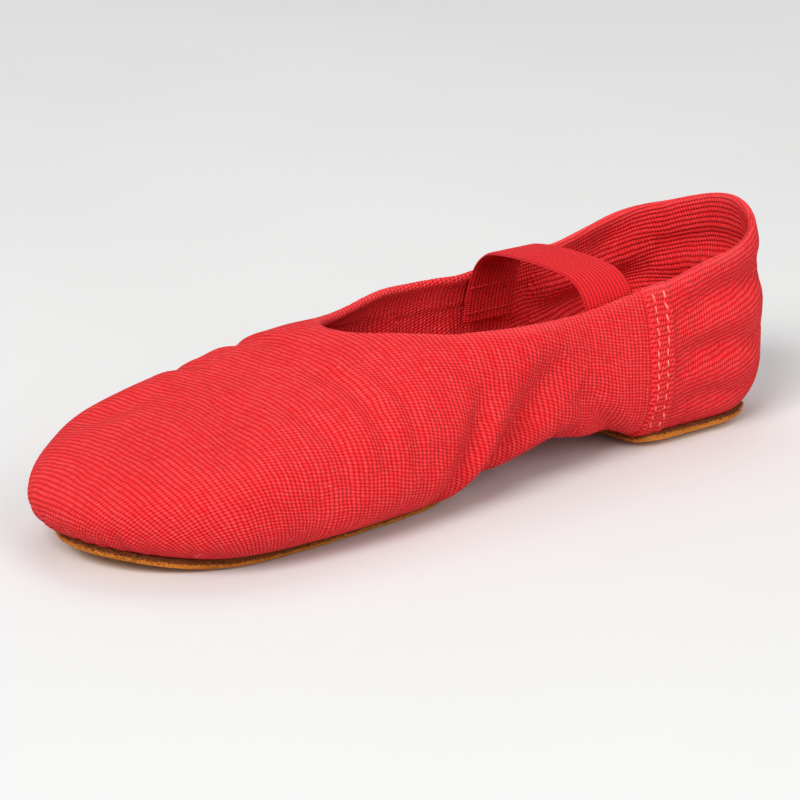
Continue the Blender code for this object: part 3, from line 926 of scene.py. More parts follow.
def make_elastic(material, ribs):
    """A band swept along its route with rounded edges, which the rib tree then ribs lengthwise."""
    route = elastic_route()
    ahead = np.gradient(route, axis=0)
    outward = unit(columns(np.zeros(len(route)), ahead[:, 2], -ahead[:, 1]))
    across = np.linspace(-0.5, 0.5, ELASTIC_ACROSS_STEPS + 1)
    thin = (ELASTIC / 2 - ELASTIC_RIB_HEIGHT) * np.sqrt(1 - np.abs(2 * across) ** ELASTIC_SQUARENESS)
    loop = np.concatenate([columns(across, thin), columns(across, -thin)[-2:0:-1]])
    points = route[:, None, :] + loop[None, :, 1:] * outward[:, None, :]
    points[..., 0] += loop[:, 0] * ELASTIC_WIDTH
    ids = np.arange(points[..., 0].size).reshape(points.shape[:2])
    beside = np.roll(ids, -1, axis=1)
    faces = columns(ids[:-1], ids[1:], beside[1:], beside[:-1]).reshape(-1, 4)
    upper = np.arange(ELASTIC_ACROSS_STEPS)
    lower = np.concatenate([[0], np.arange(len(loop) - 1, ELASTIC_ACROSS_STEPS - 1, -1)])
    caps = columns(upper, lower[:-1], lower[1:], upper + 1)
    faces = np.concatenate([faces, ids[0][caps][:, ::-1], ids[-1][caps]])
    width = np.broadcast_to(loop[:, 0] * ELASTIC_WIDTH, points.shape[:2])
    length = np.broadcast_to(gone_along(route)[:, None], width.shape)
    laid = columns(width, length).reshape(-1, 2) * MILLIMETRES
    band = make_piece("elastic_band", points.reshape(-1, 3), faces, laid[faces], {"across": width.ravel()})
    sizes = {"Rib Pitch": ELASTIC_RIB, "Rib Height": ELASTIC_RIB_HEIGHT, "Material": material}
    return grown("elastic", band, ribs, sizes)


# Node trees


class Nodes:
    """A node tree while it is wired. Each method that adds a node gives back that node's output."""

    def __init__(self, tree):
        self.tree = tree

    def feed(self, socket, value):
        """Links an output to a socket, or sets the socket to a value, or to a colour of three numbers."""
        if isinstance(value, bpy.types.NodeSocket):
            self.tree.links.new(value, socket)
        elif socket.type == "RGBA":
            socket.default_value = (*value, 1.0)
        else:
            socket.default_value = value

    def add(self, kind, inputs=(), output=0, **settings):
        """A node with settings, and inputs by name or by place. Output None gives back all outputs."""
        node = self.tree.nodes.new(kind)
        for key, value in settings.items():
            setattr(node, key, value)
        for key, value in dict(inputs).items():
            self.feed(node.inputs[key], value)
        return node.outputs if output is None else node.outputs[output]

    def use(self, group, **inputs):
        """All outputs of a node group, which gets its own values."""
        named = {name.replace("_", " "): value for name, value in inputs.items()}
        return self.add("ShaderNodeGroup", named, None, node_tree=group)

    def math(self, operation, *values):
        return self.add("ShaderNodeMath", enumerate(values), operation=operation)

    def times(self, a, b):
        return self.math("MULTIPLY", a, b)

    def minus(self, a, b):
        return self.math("SUBTRACT", a, b)

    def line(self, value, slope, start):
        """value times slope, plus start."""
        return self.math("MULTIPLY_ADD", value, slope, start)

    def vector(self, operation, *values, output=0, **named):
        inputs = {**dict(enumerate(values)), **named}
        return self.add("ShaderNodeVectorMath", inputs, output, operation=operation)

    def xyz(self, **parts):
        return self.add("ShaderNodeCombineXYZ", parts)

    def split(self, vector):
        return self.add("ShaderNodeSeparateXYZ", {0: vector}, None)

    def fit(self, value, low, high, **settings):
        """0 where a value is at its low end, 1 at its high end."""
        inputs = {"Value": value, "From Min": low, "From Max": high}
        return self.add("ShaderNodeMapRange", inputs, **settings)

    def noise(self, place, scale, detail, output=0, **named):
        inputs = {"Vector": place, "Scale": scale, "Detail": detail, **named}
        return self.add("ShaderNodeTexNoise", inputs, output)

    def mix(self, share, a, b):
        """A colour between two others, wired at the node's places for colours."""
        return self.add("ShaderNodeMix", {0: share, 6: a, 7: b}, 2, data_type="RGBA")

    def read(self, name):
        """A material's view of a mesh's value."""
        return self.add("ShaderNodeAttribute", output="Fac", attribute_name=name)

    def field(self, name, kind):
        """A node tree's view of a mesh's value or vector."""
        return self.add("GeometryNodeInputNamedAttribute", {"Name": name}, data_type=kind)

    def random(self, low, high, seed):
        """A random number, wired at the node's places for numbers."""
        inputs = {2: low, 3: high, "Seed": seed}
        return self.add("FunctionNodeRandomValue", inputs, 1, data_type="FLOAT")

    def random_vector(self, low, high, seed):
        """A random vector, wired at the node's places for vectors."""
        inputs = {0: low, 1: high, "Seed": seed}
        return self.add("FunctionNodeRandomValue", inputs, data_type="FLOAT_VECTOR")

    def turned(self, rotation, angle):
        """A rotation turned further about its own upright axis."""
        spin = self.add("FunctionNodeAxisAngleToRotation", {"Axis": (0, 0, 1), "Angle": angle})
        inputs = {"Rotation": rotation, "Rotate By": spin}
        return self.add("FunctionNodeRotateRotation", inputs, rotation_space="LOCAL")


def new_group(name, kind, inputs, outputs):
    """The nodes of a new group, what it is given and what it puts out. Sockets are listed by their type."""
    tree = bpy.data.node_groups.new(name, kind)
    for in_out, sockets in (("INPUT", inputs), ("OUTPUT", outputs)):
        for socket, labels in sockets.items():
            for label in labels:
                tree.interface.new_socket(name=label, in_out=in_out, socket_type="NodeSocket" + socket)
    return Nodes(tree), tree.nodes.new("NodeGroupInput").outputs, tree.nodes.new("NodeGroupOutput").inputs


def new_tree(name, source, sizes, result, seeds=("Seed",)):
    """A new geometry tree, which gets a source, sizes, any seeds and a material and puts out one result."""
    inputs = {"Geometry": [source], "Float": sizes, "Int": seeds, "Material": ["Material"]}
    nodes, given, out = new_group(name, "GeometryNodeTree", inputs, {"Geometry": [result]})
    return nodes, given, out[result]


def grown(name, source, tree, sizes):
    """The plain mesh object that a node tree makes of a source object, which it takes the place of."""
    modifier = source.modifiers.new("grow", "NODES")
    modifier.node_group = tree
    for item in tree.interface.items_tree:
        if item.name in sizes:
            modifier[item.identifier] = sizes[item.name]
    depsgraph = bpy.context.evaluated_depsgraph_get()
    mesh = bpy.data.meshes.new_from_object(source.evaluated_get(depsgraph))
    bpy.data.objects.remove(source)
    mesh.name = name
    return add_object(name, mesh)


def finish_tree(nodes, geometry, material, result):
    """The end of every tree: smooth shading, instances made real and the material."""
    smooth = nodes.add("GeometryNodeSetShadeSmooth", {"Geometry": geometry})
    real = nodes.add("GeometryNodeRealizeInstances", {"Geometry": smooth})
    nodes.feed(result, nodes.add("GeometryNodeSetMaterial", {"Geometry": real, "Material": material}))
    return nodes.tree


def laid_out(nodes, points, instance, rotation, scale):
    """Copies of an instance on points."""
    inputs = {"Points": points, "Instance": instance, "Rotation": rotation, "Scale": scale}
    return nodes.add("GeometryNodeInstanceOnPoints", inputs)


def points_along(nodes, given):
    """Points a pitch apart along the rows that a tree is given."""
    rows = nodes.add("GeometryNodeMeshToCurve", {"Mesh": given["Rows"]})
    return nodes.add("GeometryNodeResampleCurve", {"Curve": rows, "Length": given["Pitch"]}, mode="LENGTH")


def strand(nodes, route, steps, thickness, sides):
    """A round strand along a bow through a start, a middle and an end."""
    start, middle, end = route
    inputs = {"Resolution": steps, "Start": start, "Middle": middle, "End": end}
    bow = nodes.add("GeometryNodeCurveQuadraticBezier", inputs)
    inputs = {"Resolution": sides, "Radius": nodes.times(thickness, 0.5)}
    ring = nodes.add("GeometryNodeCurvePrimitiveCircle", inputs)
    return nodes.add("GeometryNodeCurveToMesh", {"Curve": bow, "Profile Curve": ring, "Fill Caps": True})


def rib_tree():
    """Raises rounded ribs along a band, from its points' places across it."""
    sizes = ["Rib Pitch", "Rib Height"]
    nodes, given, result = new_tree("lengthwise_ribs", "Band", sizes, "Ribbed", seeds=())
    across = nodes.math("DIVIDE", nodes.field("across", "FLOAT"), given["Rib Pitch"])
    wave = nodes.math("ABSOLUTE", nodes.math("COSINE", nodes.times(across, math.pi)))
    height = nodes.times(wave, given["Rib Height"])
    offset = nodes.vector("SCALE", nodes.add("GeometryNodeInputNormal"), Scale=height)
    ribbed = nodes.add("GeometryNodeSetPosition", {"Geometry": given["Band"], "Offset": offset})
    return finish_tree(nodes, ribbed, given["Material"], result)


def thread_bow(nodes, given):
    """One stitch: a bow of thread with its two ends sunk into the cloth."""
    half = nodes.times(given["Length"], 0.5)
    sunk = nodes.times(given["Thread"], THREAD_SUNK)
    start, end = (nodes.xyz(X=nodes.times(half, sign), Z=sunk) for sign in (-1, 1))
    top = nodes.xyz(Z=nodes.times(given["Thread"], THREAD_BOW))
    return strand(nodes, (start, top, end), THREAD_STEPS, given["Thread"], THREAD_SIDES)


def needle_hole_shades(nodes, given):
    """The two holes of one stitch: shallow dark rounds of painted shade at its ends, a little longer along
    the row.
    """
    radius = nodes.times(given["Thread"], HOLE_RADIUS)
    holes = nodes.tree.nodes.new("GeometryNodeJoinGeometry")
    for sign in (-1, 1):
        inputs = {"Segments": HOLE_SEGMENTS, "Rings": HOLE_RINGS, "Radius": radius}
        ball = nodes.add("GeometryNodeMeshUVSphere", inputs)
        place = nodes.xyz(X=nodes.times(given["Length"], sign * HOLE_PLACE))
        inputs = {"Geometry": ball, "Translation": place, "Scale": HOLE_SHAPE}
        nodes.feed(holes.inputs[0], nodes.add("GeometryNodeTransform", inputs))
    return holes.outputs[0]


def stitch_tree(name, one_stitch):
    """Lays what one_stitch makes along rows that carry the surface's outward direction."""
    sizes = ["Pitch", "Length", "Thread", "Slant", "Sway"]
    nodes, given, result = new_tree(name, "Rows", sizes, "Stitches")
    places = points_along(nodes, given)

    # It lies along the row with its back to the surface, a little turned and uneven in length
    facing = nodes.field("facing", "FLOAT_VECTOR")
    upright = nodes.add("FunctionNodeAlignRotationToVector", {"Vector": facing}, axis="Z")
    inputs = {"Rotation": upright, "Vector": nodes.add("GeometryNodeInputTangent")}
    along = nodes.add("FunctionNodeAlignRotationToVector", inputs, axis="X", pivot_axis="Z")
    sway = nodes.random(nodes.times(given["Sway"], -1.0), given["Sway"], given["Seed"])
    turned = nodes.turned(along, nodes.math("ADD", nodes.math("RADIANS", given["Slant"]), sway))
    shortest = nodes.minus(STITCH_SHORT, given["Sway"])
    longest = nodes.math("ADD", STITCH_LONG, given["Sway"])
    least = nodes.xyz(X=shortest, Y=STITCH_THIN, Z=STITCH_THIN)
    most = nodes.xyz(X=longest, Y=STITCH_THICK, Z=STITCH_THICK)
    size = nodes.random_vector(least, most, nodes.math("ADD", given["Seed"], 1))
    laid = laid_out(nodes, places, one_stitch(nodes, given), turned, size)
    return finish_tree(nodes, laid, given["Material"], result)


def fibre_tree():
    """Grows short tapered fibres from rows that carry the direction they grow in."""
    nodes, given, result = new_tree("edge_fibres", "Rows", ["Pitch", "Length", "Thickness"], "Fibres")
    places = points_along(nodes, given)
    inputs = {"Vertices": FIBRE_SIDES, "Radius Top": 0.0, "Depth": given["Length"],
              "Radius Bottom": nodes.times(given["Thickness"], 0.5)}
    fibre = nodes.add("GeometryNodeMeshCone", inputs)
    spread = nodes.random_vector(*FIBRE_SPREAD, given["Seed"])
    way = nodes.vector("ADD", nodes.field("facing", "FLOAT_VECTOR"), spread)
    turned = nodes.add("FunctionNodeAlignRotationToVector", {"Vector": way}, axis="Z")
    size = nodes.random(*FIBRE_SIZES, nodes.math("ADD", given["Seed"], 1))
    laid = laid_out(nodes, places, fibre, turned, size)
    return finish_tree(nodes, laid, given["Material"], result)


def lint_tree():
    """Scatters fine bowed hairs over a cloth, lying along it with one end free."""
    nodes, given, result = new_tree("loose_hairs", "Cloth", ["Density", "Length", "Thickness"], "Hairs")
    inputs = {"Mesh": given["Cloth"], "Density": given["Density"], "Seed": given["Seed"]}
    spots = nodes.add("GeometryNodeDistributePointsOnFaces", inputs, None, distribute_method="RANDOM")
    middle, tip = (nodes.xyz(**{part: nodes.times(given["Length"], share) for part, share in zip("XYZ", bow)})
                   for bow in (LINT_MIDDLE, LINT_TIP))
    hair = strand(nodes, ((0, 0, 0), middle, tip), LINT_STEPS, given["Thickness"], LINT_SIDES)
    turn = nodes.random(0.0, 2 * math.pi, nodes.math("ADD", given["Seed"], 1))
    turned = nodes.turned(spots["Rotation"], turn)
    size = nodes.random(*LINT_SIZES, given["Seed"])
    laid = laid_out(nodes, spots["Points"], hair, turned, size)
    return finish_tree(nodes, laid, given["Material"], result)


def make_lint(cloth, material, tree):
    """Loose hairs on a copy of the cloth's mesh."""
    sizes = {"Density": LINT_DENSITY, "Length": LINT_LENGTH, "Thickness": LINT_THICKNESS, "Seed": LINT_SEED,
             "Material": material}
    return grown("canvas_lint", add_object("lint_bed", cloth.data.copy()), tree, sizes)


def rows_object(name, paths):
    """A mesh of rows for a node tree. A path gives its points, their facings and whether it is a loop."""
    points, facings, edges = [], [], []
    for path, facing, looped in paths:
        first, count = len(points), len(path)
        points += [tuple(point) for point in path]
        facings += [tuple(way) for way in facing]
        steps = range(count if looped else count - 1)
        edges += [(first + step, first + (step + 1) % count) for step in steps]
    mesh = bpy.data.meshes.new(name)
    mesh.from_pydata(points, edges, [])
    attribute = mesh.attributes.new("facing", "FLOAT_VECTOR", "POINT")
    attribute.data.foreach_set("vector", np.array(facings).ravel())
    return add_object(name, mesh)


def make_fibres(name, pad, material, tree):
    """Fibres along a pad's cut edge, growing outward at a few heights."""
    outline, outward, _ = cut_outline(pad, SUEDE_LAYER)
    ways = np.column_stack([outward, np.zeros(PAD_ROUND_STEPS)])
    inset = outline - outward * SUEDE_LAYER.fray
    paths = []
    for share in FIBRE_ROWS:
        height = blend(SUEDE_LAYER.face + SUEDE_LAYER.round, SUEDE_LAYER.back, share)
        paths.append((from_sole(inset[:, 0], inset[:, 1], np.full(PAD_ROUND_STEPS, height)), ways, True))
    sizes = {"Pitch": FIBRE_PITCH, "Length": FIBRE_LENGTH, "Thickness": FIBRE_THICKNESS, "Seed": FIBRE_SEED,
             "Material": material}
    return grown(name, rows_object(name + "_rows", paths), tree, sizes)


def make_stitches(name, paths, surface, stitch, material, tree):
    """Stitches along paths, each a list of points near a surface and whether it is a loop."""
    drawn = []
    for path, looped in paths:
        found = [surface.find_nearest(Vector(point)) for point in path]
        drawn.append(([place for place, _, _, _ in found], [normal for _, normal, _, _ in found], looped))
    sizes = {label.capitalize(): size for label, size in stitch._asdict().items()}
    return grown(name, rows_object(name + "_rows", drawn), tree, {**sizes, "Material": material})


# Shader groups


# Weave: how it drifts, its ribs' roundness, the depths of the notch between two beads and of the pits at a
# rib's edge, how uneven its yarns are, and the heights that count as gaps, which get painted shade, and as
# crests, which get painted highlights
WEAVE_DRIFT = 0.11
WEAVE_WAVER = 1.6
RIB_ROUNDNESS = 0.75
BEAD_SHIFT = 0.5
BEAD_NOTCH = 0.42
EDGE_PIT, END_PIT = 0.60, 0.40
SLUB_STRETCH, SLUB_APART = 0.09, 3.7
YARN_THIN, BEAD_UNEVEN, SLUB_UNEVEN = 0.80, 0.16, 0.24
YARN_FIBRE, YARN_FIBRE_SCALE = 0.22, 4.5
GAP_HEIGHTS = (0.86, 0.26)
CREST_HEIGHTS = (0.80, 1.12)
BEAD_TONE, SLUB_TONE = 0.4, 0.6

# Levels of noise at the edges of a patch and of a speck, and the roughness of fine fibres
BLOTCH_EDGES = (0.34, 0.66)
SPECK_EDGES = (0.43, 0.35)
FINE_ROUGHNESS = 0.62


def weave_group():
    """A coarse ribbed weave: its yarns' height, the gaps between them, their crests and each bead's tone."""
    nodes, given, out = new_group(
        "ribbed_weave", "ShaderNodeTree",
        {"Vector": ["Vector"], "Float": ["Rib Pitch", "Yarn Pitch", "Waver"]},
        {"Float": ["Height", "Gap", "Crest", "Tone"]})
    drift = nodes.noise(given["Vector"], WEAVE_DRIFT, detail=2.0, output="Color")
    moved = nodes.vector("SCALE", nodes.vector("SUBTRACT", drift, (0.5, 0.5, 0.5)), Scale=given["Waver"])
    x, y, _ = nodes.split(nodes.vector("ADD", given["Vector"], moved))

    # Ribs, and the slanted beads of yarn along them, each rib's half a bead on from its neighbour's
    rib = nodes.math("DIVIDE", y, given["Rib Pitch"])
    count = nodes.math("FLOOR", rib)
    across = nodes.times(nodes.minus(rib, count), math.pi)
    crown = nodes.math("POWER", nodes.math("SINE", across), RIB_ROUNDNESS)
    bead = nodes.line(rib, BEAD_SHIFT, nodes.math("DIVIDE", x, given["Yarn Pitch"]))
    end = nodes.line(nodes.math("COSINE", nodes.times(bead, 2 * math.pi)), -0.5, 0.5)

    # A rib's edge is shallow beside the middle of a bead and deepest in the pits between the beads' ends
    pit = nodes.times(nodes.minus(1.0, crown), nodes.line(end, END_PIT, EDGE_PIT))
    notch = nodes.times(nodes.times(crown, end), BEAD_NOTCH)
    rounded = nodes.minus(nodes.minus(1.0, pit), notch)

    # Yarns are thick and thin along their length, and no two beads quite alike
    slub_place = nodes.xyz(X=nodes.times(x, SLUB_STRETCH), Y=nodes.times(count, SLUB_APART))
    slub = nodes.noise(slub_place, scale=1.0, detail=1.0)
    bead_place = nodes.xyz(X=nodes.math("ROUND", bead), Y=count)
    chance = nodes.add("ShaderNodeTexWhiteNoise", {"Vector": bead_place}, "Value", noise_dimensions="2D")
    fibre = nodes.noise(given["Vector"], YARN_FIBRE_SCALE, detail=3.0)
    thickness = nodes.line(slub, SLUB_UNEVEN, nodes.line(chance, BEAD_UNEVEN, YARN_THIN))
    smooth = nodes.times(rounded, thickness)
    height = nodes.line(fibre, YARN_FIBRE, nodes.minus(smooth, YARN_FIBRE / 2))
    nodes.feed(out["Height"], height)
    # Gap marks where the cloth's colour gets painted shade, and Crest where it gets painted highlights
    nodes.feed(out["Gap"], nodes.fit(height, *GAP_HEIGHTS))
    nodes.feed(out["Crest"], nodes.fit(height, *CREST_HEIGHTS))
    nodes.feed(out["Tone"], nodes.line(chance, BEAD_TONE, nodes.times(slub, SLUB_TONE)))
    return nodes.tree


def blotch_group():
    """Soft irregular patches, from 0 to 1, of about one size."""
    nodes, given, out = new_group(
        "soft_blotches", "ShaderNodeTree", {"Vector": ["Vector"], "Float": ["Size"]}, {"Float": ["Patch"]})
    scale = nodes.math("DIVIDE", 1.0, given["Size"])
    noise = nodes.noise(given["Vector"], scale, detail=3.0)
    nodes.feed(out["Patch"], nodes.fit(noise, *BLOTCH_EDGES, interpolation_type="SMOOTHSTEP"))
    return nodes.tree


def fibre_group():
    """Fine fibres: a height of about one size, and dark specks where it is deepest."""
    nodes, given, out = new_group(
        "fine_fibres", "ShaderNodeTree", {"Vector": ["Vector"], "Float": ["Size"]},
        {"Float": ["Height", "Speck"]})
    scale = nodes.math("DIVIDE", 1.0, given["Size"])
    noise = nodes.noise(given["Vector"], scale, detail=4.0, Roughness=FINE_ROUGHNESS)
    nodes.feed(out["Height"], noise)
    nodes.feed(out["Speck"], nodes.fit(noise, *SPECK_EDGES))
    return nodes.tree


WEAVE, BLOTCHES, FIBRES = weave_group(), blotch_group(), fibre_group()


# Materials


# A woven cloth: its colours, the pitches of its ribs and yarns in millimetres, and the depth of its bump. Its
# gap colour is painted shade in the weave's gaps and also darkens its patches, and its pale colour is both
# the paler bead tone and the painted highlights
Cloth = namedtuple("Cloth", "gap_colour yarn_colour pale_colour rib yarn depth")
CANVAS_CLOTH = Cloth((0.48, 0.003, 0.007), (0.88, 0.016, 0.022), (1.00, 0.092, 0.096), 1.15, 0.78, 0.00055)
INSOLE_CLOTH = Cloth((0.26, 0.004, 0.008), (0.60, 0.020, 0.030), (0.72, 0.045, 0.055), 0.62, 0.62, 0.00020)

# How strongly a bead's tone, the patches, the painted shade in the gaps, the painted highlights on the crests
# and the painted highlight along the collar's edge colour a cloth, and how rough its yarns and its gaps are
CLOTH_PATCH = 0.018
TONE_SHARE, PATCH_SHARE, GAP_SHADE_SHARE, CREST_HIGHLIGHT_SHARE = 0.5, 0.14, 0.85, 0.6
EDGE_HIGHLIGHT_LEAST, EDGE_HIGHLIGHT_PATCHY = 0.10, 0.25
YARN_ROUGHNESS, GAP_ROUGHER = 0.80, 0.12

# Sizes of the suede's nap, pits and patches, how strongly these, the painted highlight on the seam's ridge
# and the scuff colour it, how ragged the scuff and the cut edge are, and the depth of its bump
NAP_SIZE, NAP_HEIGHTS = 0.0005, (0.36, 0.64)
PIT_SIZE, PIT_STRETCH = 0.00045, (1.0, 0.6, 1.0)
PIT_PATCH, BROAD_PATCH = 0.009, 0.030
PIT_LEAST, PIT_PATCHY = 0.18, 0.70
BROAD_SHARE, RIDGE_HIGHLIGHT_SHARE, SCUFF_SHARE = 0.28, 0.55, 0.75
SCUFF_NAP, SCUFF_PIT, SCUFF_LEVEL = 2.2, 2.0, 1.45
EDGE_RAGGED, EDGE_LEVELS = 0.9, (0.22, 0.46)
PIT_BUMP, SUEDE_BUMP = -0.7, 0.00045

# The same for the elastic, the threads, the loose strands and the floor
ELASTIC_FIBRE, ELASTIC_FIBRE_BUMP, ELASTIC_BUMP = 0.0005, 0.5, 0.00016
CROSS_SHARE, SPECK_SHARE = 0.28, 0.3
TWIST_SIZE, THREAD_PATCH, THREAD_BUMP = 0.00035, 0.004, 0.00012
THREAD_LEAST, THREAD_PATCHY = 0.55, 0.9
STRAND_SIZE = 0.0012
FLOOR_PATCH = 0.25

# Colours of the suede: its nap, whose pale tone carries a painted glint, its patches, the painted highlight
# on the seam's ridge, the pits in it, its scuffed corner, and its cut edge's brown and fluff
NAP_DEEP, NAP_PALE_GLINT = (0.90, 0.215, 0.006), (1.00, 0.470, 0.084)
NAP_BROAD, NAP_RIDGE_HIGHLIGHT = (0.84, 0.225, 0.010), (0.98, 0.520, 0.130)
PIT_BROWN, SCUFF_BROWN = (0.52, 0.098, 0.003), (0.40, 0.066, 0.012)
EDGE_DEEP, EDGE_HIGH = (0.035, 0.006, 0.002), (0.26, 0.070, 0.018)
FLUFF_DEEP, FLUFF_HIGH = (0.26, 0.060, 0.006), (0.86, 0.300, 0.040)

# Colours of the elastic: the painted shade between its ribs, on them, in its cross yarns and in its specks
ELASTIC_RIB_SHADE, ELASTIC_HIGH = (0.28, 0.003, 0.006), (0.82, 0.018, 0.022)
ELASTIC_CROSS, ELASTIC_SPECK = (0.36, 0.004, 0.010), (0.2, 0.002, 0.006)

# Two colours of the threads, the loose strands and the floor, which are uneven between them. In a thread the
# darker one is painted shade in the hollows of its twist
Tones = namedtuple("Tones", "shade colour")
THREADS = {
    "cream_thread": Tones((0.62, 0.46, 0.26), (0.90, 0.80, 0.62)),
    "peach_thread": Tones((0.92, 0.085, 0.065), (1.00, 0.34, 0.26)),
    "red_thread": Tones((0.30, 0.004, 0.01), (0.70, 0.02, 0.03)),
}
STRANDS = {
    # Painted shade: the dark rounds in the needle holes
    "needle_hole_shade": Tones((0.10, 0.022, 0.003), (0.30, 0.075, 0.010)),
    "suede_fibres": Tones((0.45, 0.110, 0.012), (0.95, 0.430, 0.090)),
    "canvas_lint": Tones((0.80, 0.090, 0.090), (1.00, 0.420, 0.380)),
}
FLOOR = Tones((0.64, 0.64, 0.635), (0.66, 0.66, 0.655))

# Shine that all materials share
SPECULAR = 0.12
SHEEN_ROUGHNESS = 0.45


def new_material(name, roughness, sheen, tint):
    """A material, its nodes and its shader's inputs, with the sheen of its fibres."""
    material = bpy.data.materials.new(name)
    material.use_nodes = True
    nodes = Nodes(material.node_tree)
    shader = material.node_tree.nodes["Principled BSDF"].inputs
    nodes.feed(shader["Roughness"], roughness)
    nodes.feed(shader["Specular IOR Level"], SPECULAR)
    nodes.feed(shader["Sheen Weight"], sheen)
    nodes.feed(shader["Sheen Roughness"], SHEEN_ROUGHNESS)
    nodes.feed(shader["Sheen Tint"], tint)
    return material, nodes, shader


def thread_uv(nodes):
    return nodes.add("ShaderNodeUVMap", uv_map="thread")


def object_place(nodes):
    return nodes.add("ShaderNodeTexCoord", output="Object")


def add_bump(nodes, shader, height, distance):
    inputs = {"Height": height, "Distance": distance, "Strength": 1.0}
    nodes.feed(shader["Normal"], nodes.add("ShaderNodeBump", inputs))


def woven_material(name, cloth, edge_highlight):
    """Ribbed cotton, uneven from yarn to yarn: painted shade darkens its weave's gaps, painted highlights
    pale its crests, and a painted highlight pales it along the collar's edge.
    """
    material, nodes, shader = new_material(name, roughness=0.85, sheen=0.03, tint=(1.0, 0.55, 0.5))
    weave = nodes.use(WEAVE, Vector=thread_uv(nodes), Rib_Pitch=cloth.rib, Yarn_Pitch=cloth.yarn,
                      Waver=WEAVE_WAVER)
    patch = nodes.use(BLOTCHES, Vector=object_place(nodes), Size=CLOTH_PATCH)["Patch"]
    colour = nodes.mix(nodes.times(weave["Tone"], TONE_SHARE), cloth.yarn_colour, cloth.pale_colour)
    colour = nodes.mix(nodes.times(patch, PATCH_SHARE), colour, cloth.gap_colour)
    # Painted shade in the weave's gaps, and painted highlights on its crests
    colour = nodes.mix(nodes.times(weave["Gap"], GAP_SHADE_SHARE), colour, cloth.gap_colour)
    colour = nodes.mix(nodes.times(weave["Crest"], CREST_HIGHLIGHT_SHARE), colour, cloth.pale_colour)
    # A painted highlight along the collar's rolled edge
    if edge_highlight:
        highlight = nodes.times(nodes.read("edge_highlight"), nodes.line(patch, EDGE_HIGHLIGHT_PATCHY, EDGE_HIGHLIGHT_LEAST))
        colour = nodes.mix(highlight, colour, cloth.pale_colour)
    nodes.feed(shader["Base Color"], colour)
    nodes.feed(shader["Roughness"], nodes.line(weave["Gap"], GAP_ROUGHER, YARN_ROUGHNESS))
    add_bump(nodes, shader, weave["Height"], cloth.depth)
    return material


def suede_material():
    """Napped split leather: uneven orange with a painted glint on its nap, short dark pits, a painted
    highlight on the seam's ridge, and its cut edge brown above the nap.
    """
    material, nodes, shader = new_material("orange_suede", roughness=0.95, sheen=0.02, tint=(1.0, 0.75, 0.45))
    place = object_place(nodes)
    nap = nodes.use(FIBRES, Vector=place, Size=NAP_SIZE)
    stretched = nodes.add("ShaderNodeMapping", {"Vector": place, "Scale": PIT_STRETCH})
    pits = nodes.use(FIBRES, Vector=stretched, Size=PIT_SIZE)
    patch = nodes.use(BLOTCHES, Vector=place, Size=PIT_PATCH)["Patch"]
    broad = nodes.use(BLOTCHES, Vector=place, Size=BROAD_PATCH)["Patch"]

    # The nap, its pale tone carrying a painted glint, with a painted highlight on the ridge of the seam under
    # it and its pits in patches
    colour = nodes.mix(nodes.fit(nap["Height"], *NAP_HEIGHTS), NAP_DEEP, NAP_PALE_GLINT)
    colour = nodes.mix(nodes.times(broad, BROAD_SHARE), colour, NAP_BROAD)
    colour = nodes.mix(nodes.times(nodes.read("crest_highlight"), RIDGE_HIGHLIGHT_SHARE), colour, NAP_RIDGE_HIGHLIGHT)
    depth = nodes.times(pits["Speck"], nodes.line(patch, PIT_PATCHY, PIT_LEAST))
    colour = nodes.mix(depth, colour, PIT_BROWN)

    # The scuffed corner
    moved = nodes.vector("SUBTRACT", place, SCUFF_PLACE)
    away = nodes.vector("LENGTH", nodes.vector("DIVIDE", moved, SCUFF_SIZE), output="Value")
    ragged = nodes.line(nap["Height"], SCUFF_NAP, nodes.times(pits["Height"], SCUFF_PIT))
    flaked = nodes.math("LESS_THAN", away, nodes.minus(ragged, SCUFF_LEVEL))
    colour = nodes.mix(nodes.times(flaked, SCUFF_SHARE), colour, SCUFF_BROWN)

    # The cut edge
    level = nodes.line(nap["Height"], EDGE_RAGGED, nodes.minus(nodes.read("rise"), EDGE_RAGGED / 2))
    brown = nodes.mix(pits["Height"], EDGE_DEEP, EDGE_HIGH)
    fluff = nodes.mix(pits["Height"], FLUFF_DEEP, FLUFF_HIGH)
    edge = nodes.mix(nodes.fit(level, *EDGE_LEVELS), fluff, brown)
    nodes.feed(shader["Base Color"], nodes.mix(nodes.read("cut"), colour, edge))
    add_bump(nodes, shader, nodes.line(depth, PIT_BUMP, nap["Height"]), SUEDE_BUMP)
    return material


def strand_material(name, tones):
    """Loose strands, and the dark rounds of painted shade in needle holes, uneven between two tones."""
    material, nodes, shader = new_material(name, roughness=0.9, sheen=0.1, tint=(1.0, 0.8, 0.6))
    uneven = nodes.use(FIBRES, Vector=object_place(nodes), Size=STRAND_SIZE)
    nodes.feed(shader["Base Color"], nodes.mix(uneven["Height"], *tones))
    return material


